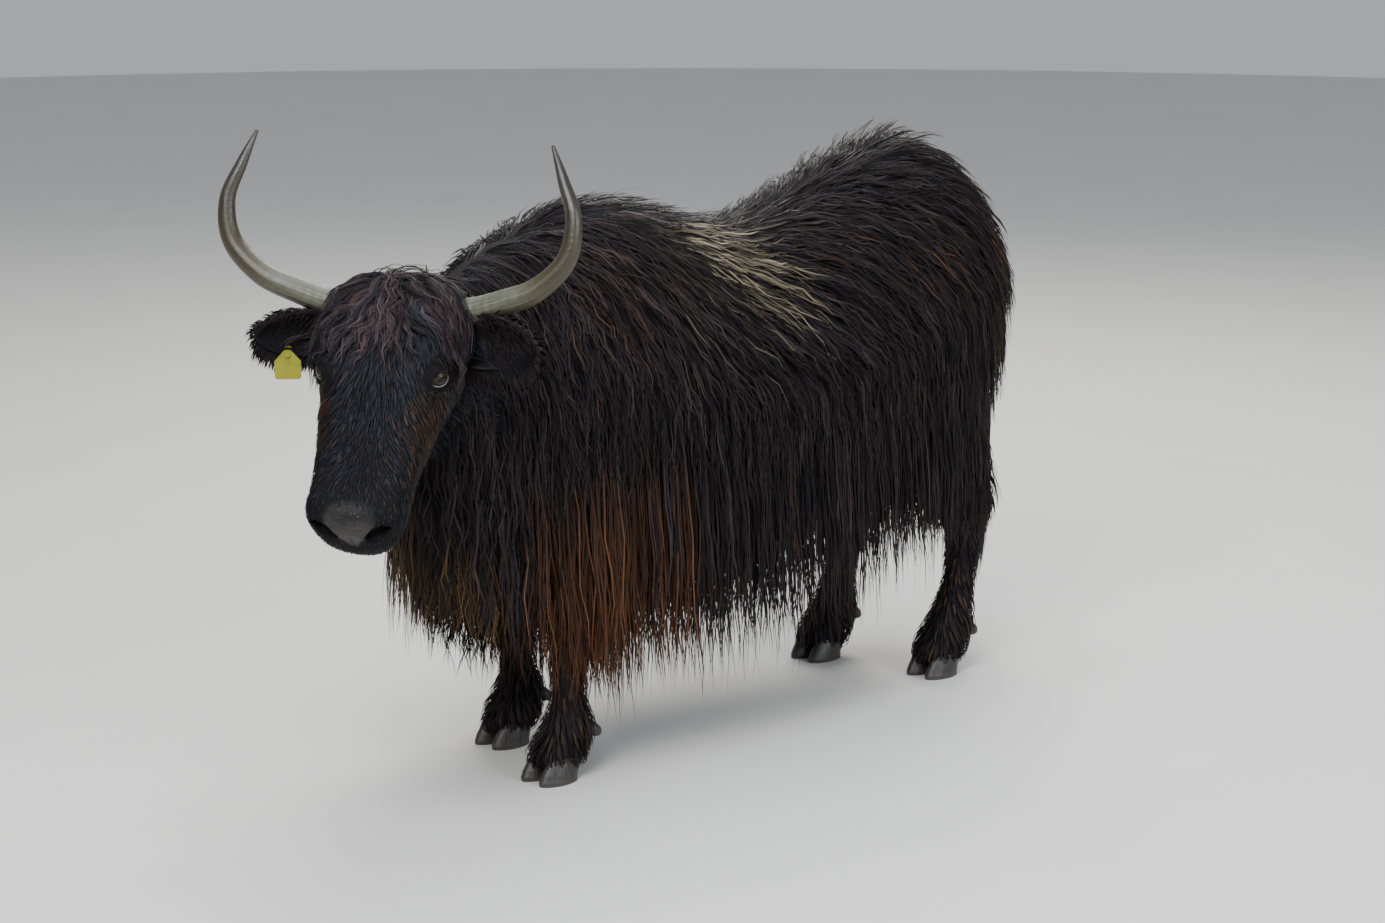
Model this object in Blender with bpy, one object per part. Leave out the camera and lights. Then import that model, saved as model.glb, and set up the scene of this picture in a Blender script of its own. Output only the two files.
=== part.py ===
"""A standing yak cow, life size and still, in separate named solids: torso, neck, head, horns, ears, eyes,
legs, claws and tail. The yak faces -Y with its head turned to its left, +X is its left and +Z is up.
"""

import math
import random

import bmesh
import bpy
import numpy as np
from mathutils import Matrix, Vector
from mathutils.bvhtree import BVHTree

GAP = 0.0003  # what touching pieces keep between them
SEED = 11

# Driving dimensions of the animal, in metres
SHOULDER_HEIGHT = 1.07
BODY_LENGTH = 1.50
BODY_WIDTH = 0.54
HEAD_SCALE = 1.05

# The pose of the head: where the poll is, and how far it is turned and bowed
POLL = Vector((0.1655, -0.480, 0.9625))
HEAD_YAW = math.radians(32.5)
HEAD_PITCH = math.radians(50.5)
HEAD_ROLL = math.radians(-2.6)

# Along the body from brisket to buttock: share of the length, back line and belly line as shares of the
# shoulder height, half width as a share of the body's, and how square the section is
TORSO_FRONT = -0.34
TORSO = np.array([
    (0.00, 0.74, 0.52, 0.16, 2.0),
    (0.05, 0.83, 0.43, 0.58, 2.1),
    (0.14, 0.945, 0.38, 0.86, 2.2),
    (0.25, 1.005, 0.37, 0.96, 2.2),
    (0.34, 0.998, 0.37, 0.99, 2.3),
    (0.44, 0.960, 0.37, 1.00, 2.3),
    (0.53, 0.930, 0.37, 1.00, 2.3),
    (0.64, 0.968, 0.39, 1.00, 2.3),
    (0.76, 1.035, 0.41, 0.98, 2.3),
    (0.87, 1.055, 0.44, 0.91, 2.2),
    (0.95, 0.990, 0.50, 0.74, 2.2),
    (0.99, 0.90, 0.56, 0.46, 2.1),
    (1.00, 0.80, 0.64, 0.16, 2.0),
])

# Along the neck from inside the chest to inside the skull: sideways, along, top, bottom, half width
NECK = np.array([
    (0.000, 0.020, 1.050, 0.43, 0.200),
    (0.020, -0.120, 1.035, 0.41, 0.200),
    (0.065, -0.245, 1.005, 0.48, 0.178),
    (0.110, -0.355, 0.975, 0.59, 0.140),
    (0.145, -0.430, 0.945, 0.68, 0.105),
])

# How far the core lies inside the outline above: at the back line, at the flanks and at the belly line
CORE_BACK = 0.026
CORE_FLANK = 0.030
CORE_BELLY = -0.055

# Rows of locks round the trunk, from the back line down to the skirt: angle above the horizontal in degrees,
# first and last place along the body, how many on each side, length, width, thickness, depth at the tip, spans
TRUNK_ROWS = (
    (74, -0.22, 1.02, 8, 0.23, 0.125, 0.020, 0.018, 3),
    (46, -0.23, 1.07, 8, 0.29, 0.132, 0.022, 0.026, 3),
    (18, -0.22, 1.10, 9, 0.31, 0.126, 0.024, 0.032, 3),
    (-12, -0.23, 1.10, 10, 0.33, 0.120, 0.026, 0.034, 4),
    (-38, -0.23, 1.09, 13, 0.33, 0.100, 0.024, 0.036, 4),
)
# Locks along the middle of the back, the same way
SPINE_ROW = (-0.24, 1.04, 8, 0.19, 0.090, 0.020, 0.012)
# Locks down the buttocks on each side of the tail: sideways, height, then length, width, thickness, depth
RUMP_ROWS = ((0.100, 0.93), (0.165, 0.86), (0.085, 0.76), (0.165, 0.68), (0.095, 0.60))
RUMP_LOCK = (0.25, 0.095, 0.020, 0.022)
# Locks down the neck: angle, first and last share of its length, how many on each side, then as above
NECK_ROWS = (
    (78, 0.14, 0.92, 4, 0.16, 0.090, 0.018, 0.016, 3),
    (24, 0.34, 0.84, 3, 0.22, 0.092, 0.020, 0.022, 3),
    (-24, 0.32, 0.84, 3, 0.24, 0.085, 0.022, 0.028, 3),
    (-64, 0.26, 0.86, 4, 0.20, 0.075, 0.022, 0.030, 3),
)
THROAT_ROW = (0.30, 0.84, 4, 0.15, 0.070, 0.020, 0.020)
# Height of the coat's tips above the floor, along the body
SKIRT = ((-0.34, 0.33), (-0.26, 0.29), (-0.18, 0.20), (0.00, 0.16), (0.30, 0.17), (0.60, 0.21), (0.85, 0.26),
         (1.12, 0.34))
# Forelock: how many in each row, where the row is along the head, its half width, and the locks' length
FORELOCK = ((6, -0.046, 0.066, 0.165), (7, 0.006, 0.084, 0.140), (6, 0.048, 0.078, 0.115))
# Brush of the tail: share down the dock, how many locks round it, their length
TAIL_LOCKS = ((0.30, 4, 0.32), (0.52, 5, 0.40), (0.80, 4, 0.28))
ROOT_SUNK = 0.022
LOCK_WIDTHS = (0.70, 1.00, 0.96, 0.72)
HANG_BELOW = -0.08  # a lock leaves the surface where the surface faces down by more than this
CLEARANCE = 0.0025
# What a lock tries in turn to stay clear of its neighbours: share of its length and depth, outward slant
LOCK_TRIALS = ((1.0, 1.0, 0.0), (1.0, 1.2, 0.10), (1.0, 1.3, 0.20), (0.95, 1.4, 0.30), (0.9, 1.6, 0.42),
               (0.8, 1.2, 0.15), (0.7, 1.2, 0.1), (0.6, 1.0, 0.1), (0.48, 1.0, 0.0))

# Along the head from nape to muzzle, before HEAD_SCALE: distance from the poll, half width, height above
# and depth below the axis, width of the jaw as a share of the skull's, and squareness
HEAD = np.array([
    (-0.042, 0.020, 0.004, 0.030, 0.80, 2.0),
    (-0.034, 0.062, 0.022, 0.076, 0.80, 2.0),
    (-0.006, 0.092, 0.043, 0.112, 0.78, 2.2),
    (0.045, 0.110, 0.060, 0.140, 0.72, 2.4),
    (0.105, 0.114, 0.070, 0.152, 0.64, 2.5),
    (0.160, 0.106, 0.064, 0.150, 0.61, 2.5),
    (0.211, 0.098, 0.055, 0.138, 0.68, 2.4),
    (0.271, 0.089, 0.050, 0.120, 0.76, 2.3),
    (0.322, 0.082, 0.050, 0.104, 0.82, 2.3),
    (0.365, 0.079, 0.050, 0.092, 0.86, 2.4),
    (0.400, 0.077, 0.046, 0.089, 0.86, 2.5),
    (0.424, 0.069, 0.036, 0.076, 0.84, 2.5),
    (0.437, 0.050, 0.020, 0.051, 0.82, 2.3),
    (0.442, 0.018, 0.006, 0.014, 0.80, 2.0),
])

# Swells and hollows of the head on its left side, mirrored to the right, before HEAD_SCALE:
# centre (left, along, up), height along the surface normal, and radius
HEAD_FORMS = (
    ((0.078, 0.118, 0.060), 0.011, 0.024),   # brow
    ((0.098, 0.202, 0.018), -0.005, 0.022),  # hollow before the eye
    ((0.104, 0.170, -0.030), 0.005, 0.024),  # cheekbone
    ((0.086, 0.110, -0.090), 0.009, 0.045),  # jaw muscle
    ((0.066, 0.280, -0.030), -0.004, 0.030),  # hollow of the cheek
    ((0.056, 0.400, 0.016), 0.008, 0.017),   # wing of the nostril
    ((0.040, 0.438, 0.011), -0.024, 0.0125),  # nostril
    ((0.056, 0.426, 0.013), -0.013, 0.0095),  # outer slit of the nostril
    ((0.032, 0.430, -0.026), 0.007, 0.018),  # upper lip
    ((0.000, 0.438, -0.016), -0.004, 0.006),  # groove of the upper lip
    ((0.022, 0.418, -0.066), 0.006, 0.022),  # lower lip
    ((0.000, 0.391, -0.080), 0.004, 0.026),  # chin
)
# The line of the mouth on the left side, from the middle of the lips to the corner
MOUTH = ((0.000, 0.438, -0.038), (0.030, 0.435, -0.040), (0.055, 0.421, -0.044), (0.070, 0.396, -0.048),
         (0.074, 0.365, -0.050), (0.074, 0.331, -0.046), (0.075, 0.310, -0.040))
MOUTH_DEPTH = 0.010
MOUTH_RADIUS = 0.0045
NOSTRIL_AT = (0.043, 0.435, 0.011)
NOSTRIL_RADII = (0.0135, 0.016, 0.0080)

# Eyes, before HEAD_SCALE
EYE_AT = (0.0895, 0.157, 0.030)
EYE_LOOK = (0.76, 0.45, 0.34)
EYE_SLANT = 0.60  # how far the lids turn up from the line of the face towards the bridge
EYE_RADIUS = 0.0205
LID_THICKNESS = 0.0040
LID_HALF_LENGTH = 0.0205
LID_HALF_HEIGHT = 0.0128

# Horns: sideways, up and forward of the poll, at true size, with the horn's radius there
HORN = np.array([
    (0.078, -0.022, 0.000, 0.0240),
    (0.134, -0.011, 0.012, 0.0234),
    (0.186, 0.007, 0.022, 0.0225),
    (0.247, 0.034, 0.028, 0.0207),
    (0.298, 0.087, 0.026, 0.0178),
    (0.309, 0.156, 0.016, 0.0143),
    (0.287, 0.219, 0.000, 0.0102),
    (0.264, 0.276, -0.018, 0.0030),
])

# Ears at true size
EAR_AT = (0.092, 0.055, -0.020)
EAR_LENGTH = 0.160
EAR_HALF_WIDTH = {1: 0.052, -1: 0.042}  # left, right
EAR_THICKNESS = 0.007
EAR_SWEEP = -0.30  # how far they point back

# Legs: the joints of the left one from hidden top to pastern (sideways, along, up, radius across, radius along)
FRONT_LEG = np.array([
    (0.122, 0.040, 0.560, 0.052, 0.080),
    (0.120, 0.020, 0.430, 0.050, 0.066),
    (0.122, -0.010, 0.310, 0.042, 0.050),
    (0.124, -0.018, 0.235, 0.036, 0.040),
    (0.123, -0.014, 0.150, 0.034, 0.038),
    (0.122, -0.014, 0.100, 0.047, 0.052),
    (0.120, -0.035, 0.062, 0.052, 0.054),
    (0.120, -0.050, 0.030, 0.050, 0.056),
])
HIND_LEG = np.array([
    (0.135, 0.900, 0.660, 0.060, 0.105),
    (0.138, 0.945, 0.500, 0.056, 0.088),
    (0.136, 1.010, 0.385, 0.043, 0.056),
    (0.134, 1.018, 0.310, 0.037, 0.047),
    (0.132, 0.990, 0.185, 0.034, 0.039),
    (0.130, 0.965, 0.105, 0.047, 0.052),
    (0.130, 0.940, 0.062, 0.052, 0.055),
    (0.130, 0.925, 0.030, 0.050, 0.056),
])
STEP_FORWARD = {"front_left": -0.055, "front_right": 0.035, "hind_left": 0.030, "hind_right": -0.050}
CLAW_LENGTH = 0.088
CLAW_WIDTH = 0.046
CLAW_HEIGHT = 0.052
CLAW_SPREAD = 0.0255

TAIL = np.array([  # along, up, radius of the dock under its hair
    (1.040, 0.925, 0.030),
    (1.120, 0.945, 0.034),
    (1.165, 0.890, 0.036),
    (1.180, 0.780, 0.036),
    (1.186, 0.660, 0.034),
    (1.188, 0.540, 0.030),
    (1.186, 0.440, 0.024),
    (1.184, 0.360, 0.010),
])

TAG_WIDTH = 0.046
TAG_HEIGHT = 0.052
TAG_THICKNESS = 0.0020
TAG_OUT = 0.105  # from the ear's root to the pin
TAG_LOW = 0.031
TAG_CLEARANCE = 0.0015
PIN_RADIUS = 0.0028

COLORS = {
    "coat": ((0.020, 0.016, 0.015), 0.65),
    "horn": ((0.33, 0.31, 0.24), 0.40),
    "eye": ((0.012, 0.009, 0.008), 0.08),
    "hoof": ((0.025, 0.022, 0.020), 0.45),
    "tag": ((0.75, 0.72, 0.05), 0.40),
}


def clear_scene():
    for obj in list(bpy.data.objects):
        bpy.data.objects.remove(obj, do_unlink=True)


def material(name):
    found = bpy.data.materials.get(name)
    if found:
        return found
    color, roughness = COLORS[name]
    made = bpy.data.materials.new(name)
    made.use_nodes = True
    shader = made.node_tree.nodes["Principled BSDF"]
    shader.inputs["Base Color"].default_value = (*color, 1.0)
    shader.inputs["Roughness"].default_value = roughness
    shader.inputs["Metallic"].default_value = 0.0
    return made


def add_object(name, bm, finish="coat", hidden=False):
    """An object from a bmesh, which it frees."""
    mesh = bpy.data.meshes.new(name)
    bm.to_mesh(mesh)
    bm.free()
    mesh.materials.append(material(finish))
    obj = bpy.data.objects.new(name, mesh)
    bpy.context.scene.collection.objects.link(obj)
    obj.hide_render = hidden
    return obj


def evaluated_copy(obj):
    """The object's mesh with its modifiers applied, in place."""
    bpy.context.view_layer.update()
    graph = bpy.context.evaluated_depsgraph_get()
    made = bpy.data.meshes.new_from_object(obj.evaluated_get(graph))
    obj.modifiers.clear()
    obj.data = made
    return obj


def smooth_rows(rows, count):
    """The table's rows read at evenly spaced places along its first column, on a smooth curve."""
    rows = np.asarray(rows, float)
    at = np.linspace(0.0, len(rows) - 1.0, count)
    low = np.minimum(at.astype(int), len(rows) - 2)
    t = (at - low)[:, None]
    slope = np.gradient(rows, axis=0)
    a, b, ma, mb = rows[low], rows[low + 1], slope[low], slope[low + 1]
    return ((2 * t**3 - 3 * t**2 + 1) * a + (t**3 - 2 * t**2 + t) * ma
            + (3 * t**2 - 2 * t**3) * b + (t**3 - t**2) * mb)


def loft(rings):
    """A closed bmesh over a list of rings of points, each end closed by a fan."""
    bm = bmesh.new()
    rows = [[bm.verts.new(p) for p in ring] for ring in rings]
    sides = len(rows[0])
    for near, far in zip(rows, rows[1:]):
        for i in range(sides):
            j = (i + 1) % sides
            bm.faces.new((near[i], near[j], far[j], far[i]))
    for row in (rows[0], rows[-1]):
        middle = bm.verts.new(sum((v.co for v in row), Vector()) / sides)
        for i in range(sides):
            bm.faces.new((row[i], row[(i + 1) % sides], middle))
    return face_out(bm)


def face_out(bm):
    """The bmesh with all its faces pointing out."""
    bm.normal_update()
    bmesh.ops.recalc_face_normals(bm, faces=bm.faces)
    return bm


def power(value, squareness):
    """A superellipse's share: round at squareness 2, boxier above it."""
    return math.copysign(abs(value) ** (2.0 / squareness), value)


def fuse(core, pieces, solver="MANIFOLD"):
    """The core with the pieces joined to it by one union over a collection, which is then removed."""
    group = bpy.data.collections.new(core.name + "_pieces")
    bpy.context.scene.collection.children.link(group)
    for piece in pieces:
        bpy.context.scene.collection.objects.unlink(piece)
        group.objects.link(piece)
    union = core.modifiers.new("union", "BOOLEAN")
    union.operation = "UNION"
    union.operand_type = "COLLECTION"
    union.collection = group
    union.solver = solver
    evaluated_copy(core)
    for piece in pieces:
        bpy.data.objects.remove(piece, do_unlink=True)
    bpy.data.collections.remove(group)
    return core


def cut(obj, cutter, solver="EXACT"):
    """The object with the cutter's space taken out."""
    minus = obj.modifiers.new("cut", "BOOLEAN")
    minus.operation = "DIFFERENCE"
    minus.object = cutter
    minus.solver = solver
    return evaluated_copy(obj)


def swollen(obj, by=GAP):
    """A hidden copy of the object, larger by the gap all round."""
    copy = obj.copy()
    copy.data = obj.data.copy()
    bpy.context.scene.collection.objects.link(copy)
    grow = copy.modifiers.new("grow", "DISPLACE")
    grow.direction = "NORMAL"
    grow.mid_level = 0.0
    grow.strength = by
    evaluated_copy(copy)
    copy.hide_render = True
    return copy


def remove(*objects):
    for obj in objects:
        bpy.data.objects.remove(obj, do_unlink=True)


def largest_part(obj):
    """Keeps only the object's largest closed surface."""
    bm = bmesh.new()
    bm.from_mesh(obj.data)
    bm.verts.ensure_lookup_table()
    seen = set()
    parts = []
    for start in bm.verts:
        if start.index in seen:
            continue
        part, edge = [], [start]
        seen.add(start.index)
        while edge:
            vert = edge.pop()
            part.append(vert)
            for link in vert.link_edges:
                other = link.other_vert(vert)
                if other.index not in seen:
                    seen.add(other.index)
                    edge.append(other)
        parts.append(part)
    parts.sort(key=len)
    for part in parts[:-1]:
        bmesh.ops.delete(bm, geom=part, context="VERTS")
    bm.to_mesh(obj.data)
    bm.free()
    return obj


def thinned(obj, triangles):
    """The object with its mesh brought down to about this many triangles."""
    bm = bmesh.new()
    bm.from_mesh(obj.data)
    bmesh.ops.triangulate(bm, faces=bm.faces)
    bm.to_mesh(obj.data)
    bm.free()
    fewer = obj.modifiers.new("thin", "DECIMATE")
    fewer.ratio = min(1.0, triangles / len(obj.data.polygons))
    return evaluated_copy(obj)


def blended(obj, voxel, passes, triangles):
    """Overlapping shells made one smooth skin of about this many triangles."""
    skin = obj.modifiers.new("skin", "REMESH")
    skin.mode = "VOXEL"
    skin.voxel_size = voxel
    soften = obj.modifiers.new("soften", "SMOOTH")
    soften.factor = 0.5
    soften.iterations = passes
    evaluated_copy(obj)
    return thinned(obj, triangles)


def head_axes():
    """The head's left, along and up directions in the world."""
    ahead = Vector((math.sin(HEAD_YAW), -math.cos(HEAD_YAW), 0.0))
    left = Vector((math.cos(HEAD_YAW), math.sin(HEAD_YAW), 0.0))
    along = ahead * math.cos(HEAD_PITCH) - Vector((0, 0, math.sin(HEAD_PITCH)))
    roll = Matrix.Rotation(HEAD_ROLL, 3, along)
    up = left.cross(along) * -1.0
    return roll @ left, along, roll @ up


def head_point(left, along, up):
    """A place on the head, given before HEAD_SCALE, in the world."""
    x, y, z = head_axes()
    return POLL + (x * left + y * along + z * up) * HEAD_SCALE


def torso_ring(row, sides):
    share, top, bottom, half, square = row
    y = TORSO_FRONT + share * BODY_LENGTH
    high, low = top * SHOULDER_HEIGHT - CORE_BACK, bottom * SHOULDER_HEIGHT - CORE_BELLY
    middle = low + (high - low) * 0.46
    wide = max(0.01, half * BODY_WIDTH / 2 - CORE_FLANK * half)
    ring = []
    for i in range(sides):
        turn = 2 * math.pi * i / sides
        c, s = math.cos(turn), math.sin(turn)
        narrow = 1.0 - 0.28 * max(0.0, s) ** 1.5
        x = power(c, square) * wide * narrow
        z = middle + power(s, square) * ((high - middle) if s > 0 else (middle - low))
        ring.append(Vector((x, y, z)))
    return ring


def neck_rings(sides, count):
    """Rings from the chest to the skull, on a line that bends to the left."""
    rows = smooth_rows(NECK, count)
    path = [Vector((r[0], r[1], (r[2] + r[3]) / 2)) for r in rows]
    rings = []
    for i, (x, y, top, bottom, wide) in enumerate(rows):
        ahead = path[min(i + 1, count - 1)] - path[max(i - 1, 0)]
        side = Vector((-ahead.y, ahead.x, 0.0)).normalized()
        ring = []
        for j in range(sides):
            turn = 2 * math.pi * j / sides
            c, s = math.cos(turn), math.sin(turn)
            narrow = 1.0 - 0.30 * max(0.0, s)
            tall = (top - bottom) / 2 - CORE_BACK
            ring.append(path[i] + side * ((wide - CORE_FLANK) * c * narrow) + Vector((0, 0, tall * s)))
        rings.append(ring)
    return rings


def join_bmesh(parts):
    """One bmesh that holds several, each still its own closed shell."""
    whole = bmesh.new()
    for part in parts:
        mesh = bpy.data.meshes.new("part")
        part.to_mesh(mesh)
        part.free()
        whole.from_mesh(mesh)
        bpy.data.meshes.remove(mesh)
    return whole


def ellipsoid(centre, radii, turn=Matrix.Identity(3)):
    bm = bmesh.new()
    bmesh.ops.create_uvsphere(bm, u_segments=12, v_segments=8, radius=1.0)
    for vert in bm.verts:
        vert.co = Vector(centre) + turn @ Vector(c * r for c, r in zip(vert.co, radii))
    return bm


def head_core():
    """The head's own form: a loft along the skull, with its swells, hollows and mouth line."""
    sides, count = 120, 120
    rings = []
    for along, half, up, down, jaw, square in smooth_rows(HEAD, count):
        ring = []
        for i in range(sides):
            turn = 2 * math.pi * i / sides
            c, s = math.cos(turn), math.sin(turn)
            narrow = 1.0 - (1.0 - jaw) * max(0.0, -s) ** 1.3
            ring.append((power(c, square) * half * narrow, along, power(s, square) * (up if s > 0 else down)))
        rings.append(ring)
    bm = loft([[Vector(p) for p in ring] for ring in rings])
    bm.normal_update()
    points = np.array([v.co for v in bm.verts])
    normals = np.array([v.normal for v in bm.verts])
    lift = np.zeros(len(points))
    for centre, height, radius in HEAD_FORMS:
        for side in ((1, -1) if centre[0] else (1,)):
            away = ((points - np.array(centre) * (side, 1, 1)) ** 2).sum(1)
            lift += height * np.exp(-away / (2 * radius**2))
    points += normals * lift[:, None]
    for vert, point in zip(bm.verts, points):
        vert.co = head_point(*point)
    return add_object("head", face_out(bm))


def mouth_and_nostrils(head):
    """Cuts the line between the lips, round to its corners, and the two nostrils."""
    tree = surface(head)
    left = list(MOUTH[::-1]) + [(-x, y, z) for x, y, z in MOUTH[1:]]
    places = [tree.find_nearest(head_point(*spot))[:2] for spot in left]
    rings = []
    for i, (place, out) in enumerate(places):
        way = (places[min(i + 1, len(places) - 1)][0] - places[max(i - 1, 0)][0]).normalized()
        across = out.cross(way).normalized()
        ends = 0.5 if i in (0, len(places) - 1) else 1.0
        rings.append([place - out * (MOUTH_DEPTH * ends), place + out * 0.006 + across * MOUTH_RADIUS,
                      place + out * 0.006 - across * MOUTH_RADIUS])
    cutters = [add_object("mouth", loft(rings))]
    x, y, z = head_axes()
    for side in (1, -1):
        turn = Matrix((x, y, z)).transposed() @ Matrix.Rotation(math.radians(-35 * side), 3, "Y")
        centre = head_point(NOSTRIL_AT[0] * side, NOSTRIL_AT[1], NOSTRIL_AT[2])
        cutters.append(add_object("nostril", ellipsoid(centre, NOSTRIL_RADII, turn)))
    for cutter in cutters:
        cut(head, cutter, "MANIFOLD")
    remove(*cutters)
    return largest_part(head)


def eye_frame(side):
    """An eye's centre, and a turn whose Z looks out and whose X runs along the lids."""
    x, y, z = head_axes()
    centre = head_point(EYE_AT[0] * side, EYE_AT[1], EYE_AT[2])
    look = (x * EYE_LOOK[0] * side + y * EYE_LOOK[1] + z * EYE_LOOK[2]).normalized()
    along = y + z * EYE_SLANT
    along = (along - look * along.dot(look)).normalized()
    across = look.cross(along)
    return centre, Matrix((along, across, look)).transposed()


def eyes_and_lids(head):
    """Round eyes set in the head, under lids that open in an almond."""
    eyes, balls, cutters = [], [], []
    for name, side in (("left", 1), ("right", -1)):
        centre, turn = eye_frame(side)
        r = EYE_RADIUS * HEAD_SCALE
        eyes.append(add_object("eye_" + name, ellipsoid(centre, (r, r, r), turn), "eye"))
        lid = r + LID_THICKNESS
        mound = (lid * 1.55, lid * 1.20, lid)
        balls.append(add_object("lid", ellipsoid(centre, mound, turn)))
        socket = r + GAP
        cutters.append(add_object("socket", ellipsoid(centre, (socket, socket, socket), turn)))
        rim = []
        for i in range(16):
            t = 2 * math.pi * i / 16
            x = LID_HALF_LENGTH * math.cos(t)
            y = LID_HALF_HEIGHT * math.copysign(abs(math.sin(t)) ** 1.3, math.sin(t))
            rim.append(Vector((x, y, 0.0)))
        rings = [[centre + turn @ (p * grow + Vector((0, 0, depth))) for p in rim]
                 for depth, grow in ((r * 0.45, 0.96), (r * 1.6, 1.25))]
        cutters.append(add_object("opening", loft(rings)))
    fuse(head, balls)
    for cutter in cutters:
        cut(head, cutter, "MANIFOLD")
    remove(*cutters)
    return eyes


def horns():
    x, _, _ = head_axes()
    ahead = Vector((math.sin(HEAD_YAW), -math.cos(HEAD_YAW), 0.0))
    made = []
    for name, side in (("left", 1), ("right", -1)):
        rows = smooth_rows(HORN, 14)
        path = [POLL + x * (r[0] * side) + Vector((0, 0, 1)) * r[1] + ahead * r[2] for r in rows]
        rings = []
        for i, centre in enumerate(path):
            way = (path[min(i + 1, len(path) - 1)] - path[max(i - 1, 0)]).normalized()
            u = way.cross(ahead).normalized()
            v = way.cross(u)
            rings.append([centre + (u * math.cos(t) + v * math.sin(t)) * rows[i][3]
                          for t in np.linspace(0, 2 * math.pi, 11, endpoint=False)])
        made.append(add_object("horn_" + name, loft(rings), "horn"))
    return made


def ear_frame(side):
    """An ear's root, and its directions: out along the ear, across it, and the way its cup faces."""
    x, y, z = head_axes()
    ahead = Vector((math.sin(HEAD_YAW), -math.cos(HEAD_YAW), 0.0))
    root = head_point(EAR_AT[0] * side, EAR_AT[1], EAR_AT[2])
    out = (x * side - Vector((0, 0, 0.12)) - ahead * EAR_SWEEP).normalized()
    facing = (ahead + x * side * 0.15 - Vector((0, 0, 0.10)))
    facing = (facing - out * facing.dot(out)).normalized()
    return root, out, facing.cross(out) * side, facing


def ears():
    """Leaf-shaped cups, thick at the root and thin at the rim."""
    made = []
    for name, side in (("left", 1), ("right", -1)):
        root, out, across, facing = ear_frame(side)
        bm = bmesh.new()
        bmesh.ops.create_grid(bm, x_segments=7, y_segments=6, size=1.0)
        for vert in bm.verts:
            u, v = (vert.co.x + 1) / 2, vert.co.y
            half = EAR_HALF_WIDTH[side] * (0.42 + 0.58 * math.sin(math.pi * min(1.0, 0.12 + u * 0.80)) ** 0.8)
            half *= math.sqrt(max(0.0, 1.0 - max(0.0, (u - 0.55) / 0.47) ** 2.4))
            bend = v * math.radians(82 - 30 * u)
            reach = half / math.sin(math.radians(82 - 30 * u))
            vert.co = (root + out * (EAR_LENGTH * u) + across * (reach * math.sin(bend))
                       - facing * (reach * (math.cos(bend) - 0.5)))
        bmesh.ops.triangulate(bm, faces=bm.faces)
        bm.normal_update()
        bmesh.ops.solidify(bm, geom=bm.faces, thickness=EAR_THICKNESS)
        made.append(add_object("ear_" + name, face_out(bm)))
    return made


def leg(name, rows, side, forward):
    """A leg from hidden top to pastern, with the foot moved forward or back by its step."""
    rings = []
    reach = rows[0][2]
    for x, y, z, across, along in smooth_rows(rows, 10):
        shift = forward * (0.45 + 0.55 * min(1.0, (reach - z) / (reach - 0.15)))
        rings.append([Vector((side * (x + across * math.cos(t)), y + shift + along * math.sin(t), z))
                      for t in np.linspace(0, 2 * math.pi, 10, endpoint=False)])
    return add_object("leg_" + name, loft(rings))


def claw(name, centre, side):
    """Half of a cloven hoof: flat sole, upright outer wall, sloping toe."""
    rows = ((0.0, 1.0, 0.0), (0.010, 1.0, 0.0), (0.034, 0.90, 0.010), (0.052, 0.74, 0.021), (0.058, 0.40, 0.026))
    rings = []
    for z, size, back in rows:
        ring = []
        for i in range(10):
            t = 2 * math.pi * i / 10
            toe = 0.72 if math.sin(t) < 0 else 1.0
            x = math.cos(t) * CLAW_WIDTH / 2 * size * (toe + (1 - toe) * abs(math.cos(t)))
            y = math.sin(t) * CLAW_LENGTH / 2 * size + back
            if z > 0.03 and math.sin(t) > 0:
                y -= 0.012 * math.sin(t)
            ring.append(Vector((centre.x + side * x, centre.y + y, z * CLAW_HEIGHT / 0.052)))
        rings.append(ring)
    return add_object(name, loft(rings), "hoof")


def dewclaw(name, root, out):
    """A short horn button behind the fetlock."""
    side = out.cross(Vector((0, 0, 1))).normalized()
    up = side.cross(out)
    rings = []
    for reach, radius in ((-0.012, 0.013), (0.010, 0.012), (0.020, 0.007)):
        rings.append([root + out * reach + (side * math.cos(t) + up * math.sin(t)) * radius
                      for t in np.linspace(0, 2 * math.pi, 7, endpoint=False)])
    return add_object(name, loft(rings), "hoof")


def feet(legs):
    """Two claws and two dewclaws for each leg, each cut clear of it."""
    made = []
    for name, (rows, side, forward) in legs.items():
        limb = bpy.data.objects["leg_" + name]
        end, fetlock = rows[-1], rows[-3]
        for part, inner in (("outer", 1), ("inner", -1)):
            x = side * (end[0] + inner * CLAW_SPREAD)
            hoof = claw(f"claw_{name}_{part}", Vector((x, end[1] + forward - 0.010, 0.0)), side * inner)
            cutter = swollen(hoof, 2 * GAP)
            cut(limb, cutter)
            remove(cutter)
            made.append(hoof)
            root = Vector((side * (fetlock[0] + inner * 0.022), fetlock[1] + forward + fetlock[4] * 0.80, 0.088))
            button = dewclaw(f"dewclaw_{name}_{part}", root, Vector((0.25 * side * inner, 1.0, -0.75)).normalized())
            cutter = swollen(limb)
            cut(button, cutter)
            remove(cutter)
            made.append(largest_part(button))
        largest_part(limb)
    return made


def tail():
    rings = []
    for y, z, radius in smooth_rows(TAIL, 9):
        rings.append((Vector((0.0, y, z)), radius))
    path = [c for c, _ in rings]
    made = []
    for i, (centre, radius) in enumerate(rings):
        way = (path[min(i + 1, len(path) - 1)] - path[max(i - 1, 0)]).normalized()
        side = Vector((1, 0, 0))
        up = side.cross(way).normalized()
        made.append([centre + side * (radius * 1.15 * math.cos(t)) + up * (radius * 0.75 * math.sin(t))
                     for t in np.linspace(0, 2 * math.pi, 8, endpoint=False)])
    return add_object("tail", loft(made))


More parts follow.
